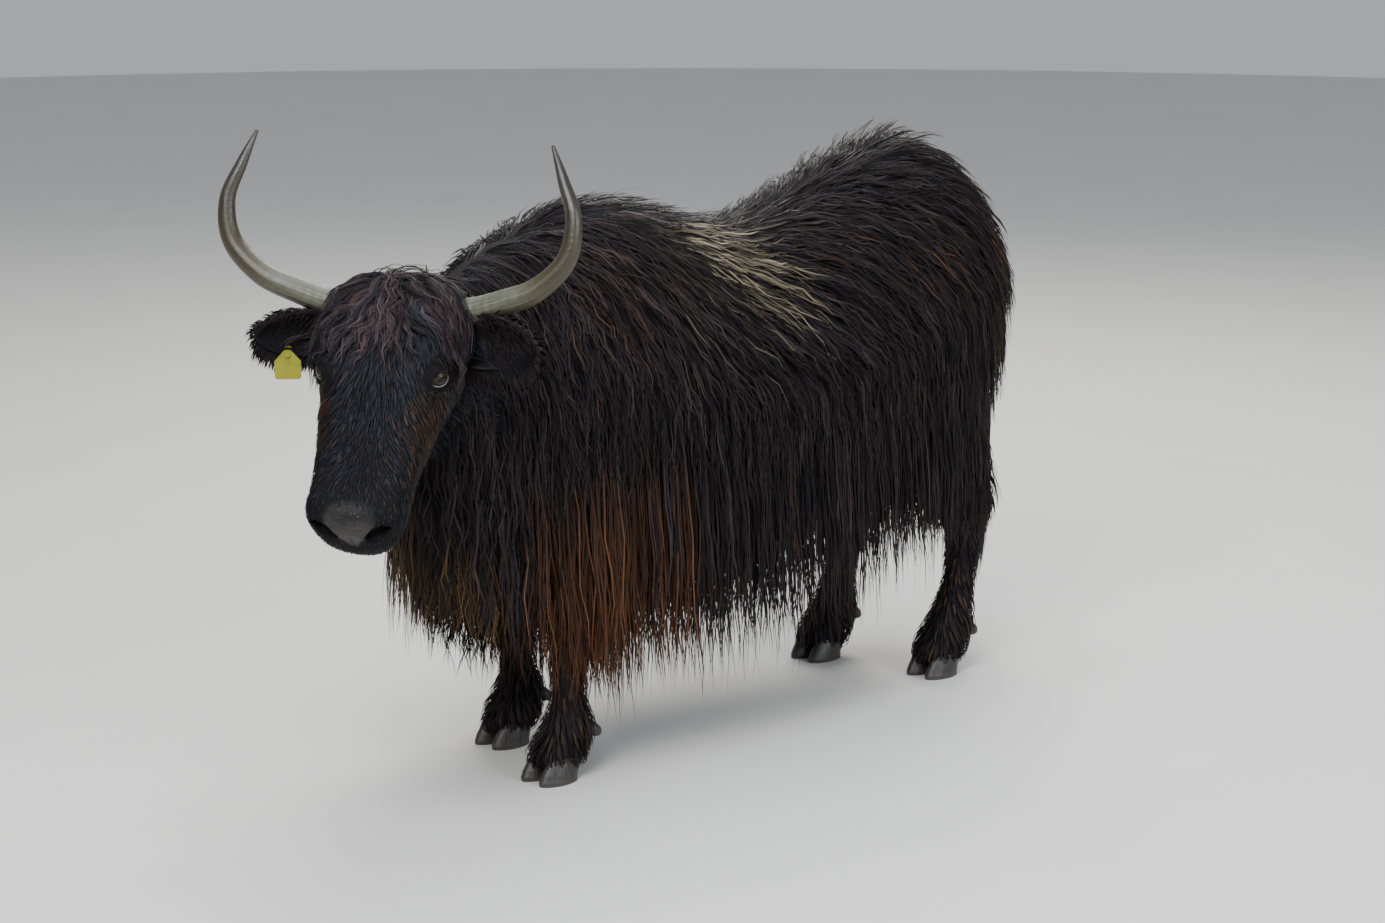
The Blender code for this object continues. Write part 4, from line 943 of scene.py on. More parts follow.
def eye_distance(points, lean=0.0):
    """How far points lie from the nearer eye's opening, as a multiple of its bare rim.

    Lean turns the way in which it is looked at from the eye's own towards the front of the head and up.
    """
    nearest = np.full(len(points), 9.0)
    for side in (1, -1):
        centre, turn = eye_frame(side)
        turn = np.array(turn)
        view = unit(turn[:, 2] * (1 - lean) + FRONT_AND_UP @ AXES * lean) @ turn
        local = (np.asarray(points) - np.array(centre)) @ turn
        ahead = local[:, 2] > 0
        away = np.hypot((local[:, 0] - local[:, 2] * view[0] / view[2]) / EYE_BARE[0],
                        (local[:, 1] - local[:, 2] * view[1] / view[2]) / EYE_BARE[1])
        nearest = np.where(ahead, np.minimum(nearest, away), nearest)
    return nearest


def clear_of_eyes(paths, reach=1.0):
    """Which hairs leave the openings of the eyes free, from the side and from the front."""
    flat = paths.reshape(-1, 3)
    nearest = np.minimum(eye_distance(flat), eye_distance(flat, 1.0)).reshape(paths.shape[:2])
    return (nearest > reach).all(axis=1)


class Skin:
    """The finished skin in the yak's own measure: a tree to find places on it, and its triangles."""

    def __init__(self):
        mesh = bpy.data.objects["skin"].data
        self.points = coordinates(mesh) - SHIFT
        mesh.calc_loop_triangles()
        corners = np.empty(len(mesh.loop_triangles) * 3, np.int32)
        mesh.loop_triangles.foreach_get("vertices", corners)
        self.corners = self.in_order(corners.reshape(-1, 3))
        self.tree = BVHTree.FromPolygons(self.points.tolist(), self.corners.tolist())
        a, b, c = (self.points[self.corners[:, i]] for i in range(3))
        cross = np.cross(b - a, c - a)
        self.areas = np.linalg.norm(cross, axis=1) / 2
        self.normals = unit(cross)
        self.middles = (a + b + c) / 3

    def in_order(self, corners):
        """The triangles, and the corners of each, ordered by place, so that every run scatters alike."""
        spots = np.round(self.points, 4) @ (1.0, 31.0, 977.0)
        first = spots[corners].argmin(axis=1)[:, None]
        corners = np.take_along_axis(corners, (first + np.arange(3)) % 3, axis=1)
        return corners[np.lexsort(spots[corners].T)]

    def scatter(self, weight, spacing, draw):
        """Roots spread evenly where the weight is above nothing, about this far apart, with their normals."""
        weights = self.areas * weight
        total = weights.sum()
        count = int(total / spacing**2 * 5)
        chosen = draw.choice(len(weights), count, p=weights / total)
        u, v = draw.random((2, count, 1))
        flip = u + v > 1
        u, v = np.where(flip, 1 - u, u), np.where(flip, 1 - v, v)
        a, b, c = (self.points[self.corners[chosen, i]] for i in range(3))
        spots = a + (b - a) * u + (c - a) * v
        cells = np.floor(spots / spacing).astype(int)
        _, first = np.unique(cells, axis=0, return_index=True)
        first = draw.permutation(first)
        return spots[first], self.normals[chosen[first]]

    def nearest(self, point):
        spot, normal, _, _ = self.tree.find_nearest(point)
        return spot, normal


SINK = 0.004
HANG_BELOW = -0.05
ROPE = 0.8  # how round a lock is shaded across its hairs
LOCK_EDGE_SHADE = 0.40  # painted shade across a lock: how light hairs are painted at its edge, and along its middle
LOCK_MIDDLE_LIGHT = 1.65
WAVE_STATIONS = 2.9  # the fewest stations to a wave that still draw it round


def comb(skin, roots, lengths, lifts, stations, lie, hang=True, stiff=0.0):
    """Guide hairs from the roots over the skin along the lie, then falling free: paths and outward directions."""
    paths = np.empty((len(roots), stations, 3))
    outs = np.empty_like(paths)
    for k, root in enumerate(roots):
        spot, out = skin.nearest(Vector(root))
        first = out.copy()
        way = lie(spot, out)
        paths[k, 0] = spot - out * SINK
        outs[k, 0] = out
        step = lengths[k] / (stations - 1)
        falling = hang and out.z < HANG_BELOW
        place = spot
        for i in range(1, stations):
            share = i / (stations - 1)
            if not falling:
                way = lie(spot, out)
                way = (way - out * way.dot(out)).normalized()
                near, turned = skin.nearest(spot + way * step)
                if hang and turned.z < HANG_BELOW:
                    falling = True
                else:
                    spot, out = near, turned
                    rise = lifts[k] * (share ** 0.7 + stiff * share)
                    place = spot + out * rise
            if falling:
                fall = (way * max(0.0, 0.35 - 0.3 * share) + DOWN + first * 0.03).normalized()
                way = (way * 0.45 + fall * 0.55).normalized()
                place = place + way * step
                flat = Vector((out.x, out.y, 0.0))
                out = (flat if flat.length > 0.05 else first).normalized()
            paths[k, i] = place
            outs[k, i] = out
    return paths, outs


def at_share(paths, share):
    """Each path read at its own shares along it."""
    count, stations = share.shape
    at = np.clip(share, 0, 1) * (paths.shape[1] - 1)
    low = np.minimum(at.astype(int), paths.shape[1] - 2)
    rows = np.arange(count)[:, None]
    t = (at - low)[..., None]
    return paths[rows, low] * (1 - t) + paths[rows, low + 1] * t


def clumps(skin, paths, outs, hairs, spread, gather, wave, draw, shortest=0.6, snap=True, curl=0.35):
    """Hairs that share each guide: roots spread round it, tips gathered to it, with a common wave.

    Gives their paths, outward directions, the guide of each, and how much lighter each is painted than the lock:
    painted shade, darker at the lock's edge and lighter along its middle.
    """
    guides, stations = paths.shape[:2]
    index = np.repeat(np.arange(guides), hairs)
    count = len(index)
    share = np.linspace(0, 1, stations)[None, :] * draw.uniform(shortest, 1.0, (count, 1))
    centre = at_share(paths[index], share)
    out = unit(at_share(outs[index], share))
    way = unit(np.gradient(centre, axis=1))
    side = unit(np.cross(way, out))
    angle = draw.uniform(0, 2 * math.pi, count)
    radius = spread * np.sqrt(draw.random(count))
    offset = (side[:, 0] * (radius * np.cos(angle))[:, None] + way[:, 0] * (radius * np.sin(angle))[:, None])
    roots = paths[index, 0] + offset
    if snap:
        for k in range(count):
            spot, normal = skin.nearest(Vector(roots[k]))
            roots[k] = spot - normal * SINK
    offset = roots - paths[index, 0]
    pull = 1.0 - gather * share[..., None] ** 0.9
    place = centre + offset[:, None, :] * pull
    lengths = np.linalg.norm(np.diff(paths, axis=1), axis=2).sum(1)[index][:, None]
    period = np.maximum(draw.uniform(0.050, 0.080, guides)[index][:, None], WAVE_STATIONS * lengths / (stations - 1))
    beat = 2 * math.pi * share * lengths / period
    phase = draw.uniform(0, 2 * math.pi, guides)[index][:, None] + draw.normal(0, 0.45, (count, 1))
    height = wave * draw.uniform(0.5, 1.3, guides)[index][:, None] * np.minimum(1.0, share * 1.8)
    across = radius / spread * np.cos(angle)
    out = unit(out + side * (ROPE * across)[:, None, None])
    place += side * (height * np.sin(beat + phase))[..., None]
    place += out * (np.abs(height) * curl * (1 + np.cos(beat * 0.83 + phase)))[..., None]
    stray = draw.normal(0, 1, (count, 1, 3)) * (share**1.6)[..., None] * wave * 0.8
    place += stray - out * np.minimum(0.0, (stray * out).sum(2, keepdims=True)) * 1.0
    # Painted shade: hairs at a lock's edge darker, along its middle lighter, standing for the lock's round shading
    return place, out, index, LOCK_EDGE_SHADE + (LOCK_MIDDLE_LIGHT - LOCK_EDGE_SHADE) * (1 - np.abs(across)) ** 1.5


def unrolled(points, centre, axis, up, start, end):
    """Where points fall on the skin unrolled round an axis: once round across the map, and along it upwards."""
    axis, up = unit(np.asarray(axis, float)), np.asarray(up, float)
    up = unit(up - axis * up.dot(axis))
    away = np.asarray(points) - np.asarray(centre)
    u = np.arctan2(away @ np.cross(axis, up), away @ up) / (2 * math.pi) + 0.5
    v = (away @ axis - start) / (end - start)
    return np.clip(np.column_stack([u, v]), 0.0, 0.996)


TRUNK_MAP = ((0, 0, 0.72), (0, 1, 0), (0, 0, -1), -0.45, 1.25)
HEAD_MAP = (np.array(POLL), AXES[1], -AXES[2], -0.10, 0.53)
PATCH = 0.003
ROUNDNESS = 0.55  # how far a tuft is shaded as its own round body rather than as part of the coat
TAPER = np.array((0.55, 0.95, 1.0, 0.95, 0.8, 0.55, 0.0))


def hair_mesh(name, paths, outs, widths, thick, root_colours, tip_colours, patches, draw):
    """Tufts as one mesh: three-sided blades that taper to a point, with their colours and their two maps."""
    count, stations = paths.shape[:2]
    way = unit(np.gradient(paths, axis=1))
    side = unit(np.cross(way, outs))
    face = np.cross(side, way)
    share = np.linspace(0, 1, stations)
    taper = np.interp(share, np.linspace(0, 1, len(TAPER)), TAPER)[:-1]
    half = (widths / 2)[:, None, None] * taper[None, :, None]
    rise = thick[:, None, None] * np.maximum(taper, 0.4)[None, :, None]
    body = paths[:, :-1]
    rings = np.stack([body - side[:, :-1] * half, body + side[:, :-1] * half, body + face[:, :-1] * rise], axis=2)
    points = np.concatenate([rings.reshape(count, -1, 3), paths[:, -1:]], axis=1)
    per = points.shape[1]
    faces, lie = [], []
    last = stations - 2
    tip = per - 1
    for i in range(last):
        for j in range(3):
            k = (j + 1) % 3
            faces.append((3 * i + k, 3 * i + j, 3 * i + 3 + j, 3 * i + 3 + k))
            lie.append(((j + 1, i), (j, i), (j, i + 1), (j + 1, i + 1)))
    for j in range(3):
        faces.append((3 * last + (j + 1) % 3, 3 * last + j, tip))
        lie.append(((j + 1, last), (j, last), (j + 0.5, last + 1)))
    faces.append((0, 1, 2))
    lie.append(((0, 0), (1, 0), (2, 0)))
    sizes = np.array([len(f) for f in faces])
    loops = np.concatenate([np.array(f) for f in faces])
    lie = np.concatenate([np.array(c, float) for c in lie])
    mesh = bpy.data.meshes.new(name)
    mesh.vertices.add(count * per)
    mesh.vertices.foreach_set("co", (points + SHIFT).astype(np.float32).ravel())
    mesh.loops.add(count * len(loops))
    starts = np.arange(count)[:, None]
    mesh.loops.foreach_set("vertex_index", (starts * per + loops).astype(np.int32).ravel())
    mesh.polygons.add(count * len(faces))
    mesh.polygons.foreach_set("loop_start", (starts * len(loops) + (np.cumsum(sizes) - sizes)).astype(np.int32).ravel())
    mesh.update(calc_edges=True)
    lengths = np.linalg.norm(np.diff(paths, axis=1), axis=2).sum(1)
    bake = mesh.uv_layers.new(name="OFBake")
    spread = np.column_stack([lie[:, 0] / 3, lie[:, 1] / (stations - 1)]) * PATCH
    bake.data.foreach_set("uv", (patches[:, None, :] + spread[None]).astype(np.float32).ravel())
    along = mesh.uv_layers.new(name="lie")
    u = lie[None, :, 0] / 3 + draw.integers(0, 97, (count, 1))
    v = lie[None, :, 1] / (stations - 1) * (lengths / 0.03)[:, None] + draw.random((count, 1)) * 7
    along.data.foreach_set("uv", np.stack([u, v], axis=2).astype(np.float32).ravel())
    mix = np.append(np.repeat(share[:-1], 3), 1.0)[None, :, None]
    colour = root_colours[:, None] * (1 - mix) + tip_colours[:, None] * mix
    point_attribute(mesh, "hair_colour", colour.reshape(-1, 3))
    mesh.shade_smooth()
    around_tuft = np.stack([-side[:, :-1], side[:, :-1], face[:, :-1]], axis=2) * ROUNDNESS
    soft = np.concatenate([(around_tuft + outs[:, :-1, None]).reshape(count, -1, 3), outs[:, -1:]], axis=1)
    mesh.normals_split_custom_set_from_vertices(unit(soft).reshape(-1, 3))
    return mesh


def add_hair(name, material, paths, outs, widths, thick, colours, patches, draw):
    """Coat pieces from the hairs, as many as their triangles call for."""
    count, stations = paths.shape[:2]
    triangles = 6 * (stations - 2) + 4
    parts = max(1, math.ceil(count * triangles / PIECE_TRIANGLES))
    root, tip = colours
    order = np.array_split(np.arange(count), parts)
    made = []
    for number, rows in enumerate(order, 1):
        label = name if parts == 1 else f"{name}_{number}"
        mesh = hair_mesh(label, paths[rows], outs[rows], widths[rows], thick[rows], root[rows], tip[rows],
                         patches[rows], draw)
        mesh.materials.append(material)
        obj = bpy.data.objects.new(label, mesh)
        bpy.context.scene.collection.objects.link(obj)
        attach(obj, "root")
        made.append(obj)
    return made


def coat_material():
    return bpy.data.materials.get("coat_hair") or hair_material("coat_hair", 0.46)


def ripple(point, scale, strength):
    """A slow, fixed drift that keeps the lie from looking ruled."""
    return noise.noise_vector(Vector(point) * scale) * strength


def tip_height(y):
    return np.interp(y, [row[0] for row in SKIRT], [row[1] for row in SKIRT])


def trunk_lie(point, out):
    """The lie over the trunk: down from the back line, swept back over loin and haunch."""
    back = np.interp(point.y, (-0.4, -0.1, 0.15, 0.40, 0.75, 1.0, 1.15), (0.10, 0.25, 0.50, 0.95, 0.90, 0.45, 0.15))
    back *= np.interp(point.z, (0.45, 0.60, 0.85), (0.05, 0.35, 1.0))
    back += 1.3 * max(0.0, out.z - 0.55)
    return Vector((0.0, back, -1.0)) + ripple(point, 4.5, 0.38)


def near_ear(points, ahead_of=-0.09):
    """Which points lie in the space of an ear, or this far behind it."""
    inside = np.zeros(np.shape(points)[:-1], bool)
    for side in (1, -1):
        root, out, across, facing = ear_frame(side)
        away = np.asarray(points) - root
        along, wide, depth = away @ out, away @ across, away @ facing
        inside |= ((along > 0.02) & (along < EAR_LENGTH + 0.01) & (np.abs(wide) < EAR_HALF_WIDTH[side])
                   & (depth > ahead_of) & (depth < 0.08))
    return inside


def trunk_weight(skin):
    """Where the trunk's and neck's coat grows: not on the head, ears, legs or belly floor."""
    middles = skin.middles
    places = on_head(middles)
    head = (places[:, 1] > 0.0) & (np.abs(places[:, 0]) < 0.20) & (middles[:, 1] < -0.40)
    legs = middles[:, 2] < 0.37
    ridge = 1.0 + 0.7 * (skin.normals[:, 2] > 0.6)
    under = np.interp(middles[:, 2], (0.45, 0.62), (0.45, 1.0))
    return np.where(head | legs | near_ear(middles), 0.0, ridge * under)


class YakSizes(bpy.types.PropertyGroup):
    """Sizes a user may change."""

    hump_hair: bpy.props.FloatProperty(name="Trunk hair", description="Length of the hair over back and flanks",
                                       default=0.165, min=0.03, unit="LENGTH")
    trunk_depth: bpy.props.FloatProperty(name="Trunk depth", description="Depth of the coat over back and flanks",
                                         default=0.026, min=0.0, unit="LENGTH")
    guide_gap: bpy.props.FloatProperty(name="Clump spacing", description="Distance between clumps on the trunk",
                                       default=0.0272, min=0.01, unit="LENGTH")
    clump_hairs: bpy.props.IntProperty(name="Hairs in a clump", description="Tufts in each clump of the trunk",
                                       default=3, min=1)
    hair_width: bpy.props.FloatProperty(name="Tuft width", description="Width of one tuft on the trunk",
                                        default=0.0040, min=0.001, unit="LENGTH")
    wave: bpy.props.FloatProperty(name="Wave", description="Height of the waves in the long hair",
                                  default=0.0080, min=0.0, unit="LENGTH")
    camera_lens: bpy.props.FloatProperty(name="Lens", description="Focal length on a 36 mm wide frame, in mm",
                                         default=85.5, min=10.0)


class YakColours(bpy.types.PropertyGroup):
    """Colours a user may change."""

    nose_dark: bpy.props.FloatVectorProperty(name="Nose", description="Bare nose, darker part", subtype="COLOR",
                                             default=(0.0065, 0.006, 0.0065), min=0.0, max=1.0)
    nose_light: bpy.props.FloatVectorProperty(name="Nose light", description="Bare nose, lighter part",
                                              subtype="COLOR", default=(0.026, 0.022, 0.021), min=0.0, max=1.0)
    horn_pale: bpy.props.FloatVectorProperty(name="Horn root", description="Pale grey horn near the root",
                                             subtype="COLOR", default=(0.128, 0.138, 0.104), min=0.0, max=1.0)
    # horn_olive also colours the painted shade on the horn's underside
    horn_olive: bpy.props.FloatVectorProperty(name="Horn middle", description="Olive-brown middle and underside",
                                              subtype="COLOR", default=(0.046, 0.037, 0.016), min=0.0, max=1.0)
    horn_tip: bpy.props.FloatVectorProperty(name="Horn tip", description="Dark grey-brown tip", subtype="COLOR",
                                            default=(0.026, 0.023, 0.020), min=0.0, max=1.0)
    iris: bpy.props.FloatVectorProperty(name="Iris", description="Brown of the iris", subtype="COLOR",
                                        default=(0.036, 0.027, 0.010), min=0.0, max=1.0)
    tag: bpy.props.FloatVectorProperty(name="Ear tag", description="Yellow of the ear tag", subtype="COLOR",
                                       default=(0.24, 0.24, 0.004), min=0.0, max=1.0)
    floor: bpy.props.FloatVectorProperty(name="Floor", description="Pale studio floor", subtype="COLOR",
                                         default=(0.62, 0.61, 0.59), min=0.0, max=1.0)


FLESH_NODES = ("torso", "neck", "head", "ear_left", "ear_right", "leg_front_left", "leg_front_right",
               "leg_hind_left", "leg_hind_right", "tail")


class YAK_OT_skin(bpy.types.Operator):
    """Makes one skin over body, head, ears, legs and dock."""

    bl_idname = "yak.skin"
    bl_label = "Skin"

    def execute(self, context):
        shells = [tube(torso_rings(48, 60)), tube(neck_rings(40, 30)), tube(dock_rings(20, 24)),
                  ellipsoid((0.0, -0.22, 0.50), (0.11, 0.07, 0.12), Matrix.Identity(3), 24)]
        shells += [tube(leg_rings(name, 28, 40)) for name in LEGS]
        skin = remeshed(add_object("skin", joined(shells)), BODY_VOXEL, 6)
        parts = [head_shell(), ear_shell(1), ear_shell(-1)]
        for side in (1, -1):
            centre, turn = eye_frame(side)
            lid = EYE_RADIUS * HEAD_SCALE + LID_THICKNESS
            parts.append(ellipsoid(centre, (lid * 1.55, lid * 1.20, lid), turn, 48))
        head = remeshed(add_object("head_skin", joined(parts)), HEAD_VOXEL, 3)
        fine_folds(head)
        thinned(head, HEAD_SHARE)
        for side in (1, -1):
            for cutter in [nostril_cutter(side)] + eye_cutters(side):
                combined(head, add_object("cutter", cutter), "DIFFERENCE")
        combined(skin, head, "UNION")
        points = coordinates(skin.data)
        places = on_head(points)
        point_attribute(skin.data, "hair_colour", skin_colours(points))
        point_attribute(skin.data, "bare", pad_mask(places))
        # Painted wet sheen, strongest at the lower edge of the pad
        point_attribute(skin.data, "painted_sheen", np.interp(places[:, 2], (-0.034, -0.012, 0.012, 0.036),
                                                      (0.9, 0.8, 0.35, 0.0)))
        finished(skin, skin_material(context.scene.yak_colours), "coat", *FLESH_NODES)
        return {"FINISHED"}


def eyeball(side):
    """A ball with a raised cornea, and a map across it with the pupil in the middle."""
    centre, turn = eye_frame(side)
    r = EYE_RADIUS * HEAD_SCALE - 0.0003
    bm = bmesh.new()
    bmesh.ops.create_uvsphere(bm, u_segments=48, v_segments=36, radius=1.0)
    layer = bm.loops.layers.uv.new("lie")
    cornea = 0.62
    for face in bm.faces:
        for loop in face.loops:
            loop[layer].uv = (loop.vert.co.x, loop.vert.co.y)
    for vert in bm.verts:
        away = math.hypot(vert.co.x, vert.co.y)
        bulge = 0.05 * max(0.0, 1 - (away / cornea) ** 2) if vert.co.z > 0 else 0.0
        vert.co = centre + turn @ (vert.co * (r * (1 + bulge)))
    bmesh.ops.recalc_face_normals(bm, faces=bm.faces)
    return bm


def lid_edge(side):
    """The thin moist edge round the open lids."""
    centre, turn = eye_frame(side)
    r = EYE_RADIUS * HEAD_SCALE
    rim = lid_rim(56)
    bm = bmesh.new()
    rings = []
    tilt = around(10)
    for x, y in rim:
        depth = math.sqrt(max(0.0, (r + 0.0016) ** 2 - x**2 - y**2))
        spot = Vector((x, y, depth))
        outward = Vector((x, y, 0.0)).normalized()
        rise = spot.normalized()
        thick = 0.0012 if y * upper(side) < 0 else 0.0008
        rings.append([centre + turn @ (spot + outward * (math.cos(t) * thick) + rise * (math.sin(t) * thick))
                      for t in tilt])
    rings.append(rings[0])
    rings = np.array(rings)
    bmesh.ops.create_grid(bm, x_segments=len(tilt), y_segments=len(rings) - 1, size=1.0)
    for vert in bm.verts:
        column = round((vert.co.x + 1) / 2 * len(tilt)) % len(tilt)
        row = round((vert.co.y + 1) / 2 * (len(rings) - 1))
        vert.co = rings[row, column]
    bmesh.ops.remove_doubles(bm, verts=bm.verts, dist=1e-6)
    bmesh.ops.recalc_face_normals(bm, faces=bm.faces)
    return bm


class YAK_OT_eyes(bpy.types.Operator):
    """Makes the eyeballs and the moist edges of the lids."""

    bl_idname = "yak.eyes"
    bl_label = "Eyes"

    def execute(self, context):
        wet = eye_material(context.scene.yak_colours)
        edge = lid_material()
        for name, side in (("left", 1), ("right", -1)):
            finished(add_object("eyeball_" + name, eyeball(side)), wet, "eye", "eye_" + name)
            finished(add_object("lid_edge_" + name, lid_edge(side)), edge, "coat")
        return {"FINISHED"}


def horn_rings(side, sides, count):
    """Rings along a horn, with slow growth rings near its root."""
    rows = smooth_rows(HORN, count)
    path = np.array(POLL) + np.outer(rows[:, 0] * side, AXES[0]) + np.outer(rows[:, 1], (0, 0, 1)) + np.outer(
        rows[:, 2], AHEAD)
    ways = unit(np.gradient(path, axis=0))
    turn = around(sides)
    rings = []
    for i, (place, way) in enumerate(zip(path, ways)):
        share = i / (count - 1)
        u = unit(np.cross(way, AHEAD))
        v = np.cross(way, u)
        swell = 1 + 0.018 * math.sin(share * 150) * max(0.0, 1 - share * 2.2)
        swell += 0.012 * math.sin(share * 61 + 1.0) * max(0.0, 1 - share * 1.4)
        ridges = 1 + 0.006 * np.sin(turn * 9 + 2) * (1 - share)
        rings.append(place + np.outer(np.cos(turn) * ridges, u) * rows[i, 3] * swell
                     + np.outer(np.sin(turn) * ridges, v) * rows[i, 3] * swell)
    return np.array(rings), path


class YAK_OT_horns(bpy.types.Operator):
    """Makes the two upswept horns."""

    bl_idname = "yak.horns"
    bl_label = "Horns"

    def execute(self, context):
        material = horn_material(context.scene.yak_colours)
        for name, side in (("left", 1), ("right", -1)):
            rings, path = horn_rings(side, 36, 160)
            obj = add_object("horn_shell_" + name, tube(rings))
            points = coordinates(obj.data)
            away = ((points[:, None, :] - path[None, ::4, :]) ** 2).sum(2)
            nearest = away.argmin(1) * 4
            share = nearest / (len(path) - 1)
            offset = unit(points - path[nearest])
            ways = unit(np.gradient(path, axis=0))[nearest]
            inner = unit(np.cross(ways, np.cross((0, 0, 1.0), ways)))
            # under: how far a point faces down, which carries the painted shade on the horn's underside
            under = 0.5 - 0.5 * (offset * inner).sum(1)
            point_attribute(obj.data, "share", share)
            point_attribute(obj.data, "under", under)
            angle = np.arctan2((offset * np.cross(ways, inner)).sum(1), (offset * inner).sum(1))
            loops = np.empty(len(obj.data.loops), np.int32)
            obj.data.loops.foreach_get("vertex_index", loops)
            lie = obj.data.uv_layers.new(name="lie")
            around_share = np.abs(angle[loops]) / math.pi
            lie.data.foreach_set("uv", np.column_stack([around_share, share[loops]]).astype(np.float32).ravel())
            finished(obj, material, "horn", "horn_" + name)
        return {"FINISHED"}


def claw_rings(centre, side):
    """Half of a cloven hoof: flat sole, upright outer wall, sloping toe."""
    rows = smooth_rows(((0.0, 1.0, 0.0), (0.010, 1.0, 0.0), (0.034, 0.90, 0.010), (0.052, 0.74, 0.021),
                        (0.058, 0.40, 0.026)), 22)
    turn = around(40)
    c, s = np.cos(turn), np.sin(turn)
    toe = np.where(s < 0, 0.72, 1.0)
    rings = []
    for i, (z, size, back) in enumerate(rows):
        bulge = 1 + 0.010 * math.sin(i * 1.9)
        x = c * CLAW_WIDTH / 2 * size * (toe + (1 - toe) * np.abs(c)) * bulge
        y = s * CLAW_LENGTH / 2 * size * bulge + back
        y = np.where((z > 0.03) & (s > 0), y - 0.012 * s * min(1.0, (z - 0.03) / 0.01), y)
        rings.append(np.column_stack([centre[0] + side * x, centre[1] + y, np.full(len(c), z)]))
    return rings


def dewclaw_rings(root, out):
    side = unit(np.cross(out, (0, 0, 1)))
    up = np.cross(side, out)
    turn = around(20)
    rings = []
    for reach, radius in smooth_rows(((-0.012, 0.013), (0.004, 0.0128), (0.014, 0.0105), (0.020, 0.0060)), 12):
        rings.append(root + out * reach + np.outer(np.cos(turn) * radius, side) + np.outer(np.sin(turn) * radius, up))
    return rings


class YAK_OT_hooves(bpy.types.Operator):
    """Makes two claws and two dewclaws for each foot."""

    bl_idname = "yak.hooves"
    bl_label = "Hooves"

    def execute(self, context):
        material = hoof_material()
        for name, (rows, side, forward) in LEGS.items():
            end, fetlock = rows[-1], rows[-3]
            for part, inner in (("outer", 1), ("inner", -1)):
                x = side * (end[0] + inner * CLAW_SPREAD)
                rings = claw_rings((x, end[1] + forward - 0.010), side * inner)
                finished(add_object(f"hoof_{name}_{part}", tube(rings)), material, "hoof", f"claw_{name}_{part}")
                root = np.array((side * (fetlock[0] + inner * 0.022), fetlock[1] + forward + fetlock[4] * 0.80, 0.088))
                out = unit(np.array((0.25 * side * inner, 1.0, -0.75)))
                finished(add_object(f"spur_{name}_{part}", tube(dewclaw_rings(root, out))), material, "hoof",
                         f"dewclaw_{name}_{part}")
        return {"FINISHED"}


class YAK_OT_ear_tag(bpy.types.Operator):
    """Finishes the ear tag's plate and button."""

    bl_idname = "yak.ear_tag"
    bl_label = "Ear tag"

    def execute(self, context):
        material = tag_material(context.scene.yak_colours)
        for name in ("ear_tag_plate", "ear_tag_button"):
            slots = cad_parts[name].material_slots
            for slot in slots:
                slot.material = material
        return {"FINISHED"}


class YAK_OT_trunk_coat(bpy.types.Operator):
    """Covers back, flanks, shoulders, haunches and neck in waving clumps."""

    bl_idname = "yak.trunk_coat"
    bl_label = "Trunk coat"

    def execute(self, context):
        sizes = context.scene.yak_sizes
        draw = np.random.default_rng(31)
        skin = Skin()
        weight = trunk_weight(skin)
        roots, _ = skin.scatter(weight, sizes.guide_gap, draw)
        count = len(roots)
        shorter = np.interp(roots[:, 2], (0.40, 0.60, 0.85, 1.05), (1.25, 1.15, 0.95, 0.75))
        lengths = sizes.hump_hair * shorter * draw.uniform(0.75, 1.15, count)
        tips = roots[:, 2] - tip_height(roots[:, 1])
        lengths = np.minimum(lengths, np.maximum(0.05, tips))
        lifts = sizes.trunk_depth * draw.uniform(0.35, 1.15, count)
        tuft = np.exp(-((roots[:, 1] - 0.84) / 0.06) ** 2 - (roots[:, 0] / 0.06) ** 2)
        paths, outs = comb(skin, roots, lengths, lifts * (1 + 1.0 * tuft), 6, trunk_lie)
        clear = ~near_ear(paths, -0.03).any(axis=1)
        paths, outs, count = paths[clear], outs[clear], int(clear.sum())
        gap = sizes.guide_gap
        place, out, locks, light = clumps(skin, paths, outs, sizes.clump_hairs, gap * 0.7, 0.70, sizes.wave, draw)
        widths = sizes.hair_width * draw.uniform(0.6, 1.3, len(place))
        add_hair("coat_trunk", coat_material(), place, out, widths, widths * 0.36,
                 coat_colours(place[:, 1], locks, light, draw), unrolled(place[:, 0], *TRUNK_MAP), draw)
        loose = np.tile(np.linspace(0, 1, 5), (count, 1))
        paths, outs = at_share(paths, loose), unit(at_share(outs, loose))
        place, out, locks, light = clumps(skin, paths, outs, sizes.clump_hairs, gap * 1.0, 0.35, sizes.wave * 1.3, draw, 0.5)
        widths = sizes.hair_width * 0.55 * draw.uniform(0.6, 1.3, len(place))
        add_hair("coat_loose", coat_material(), place, out, widths, widths * 0.36,
                 coat_colours(place[:, 1], locks, light, draw), unrolled(place[:, 0], *TRUNK_MAP), draw)
        return {"FINISHED"}


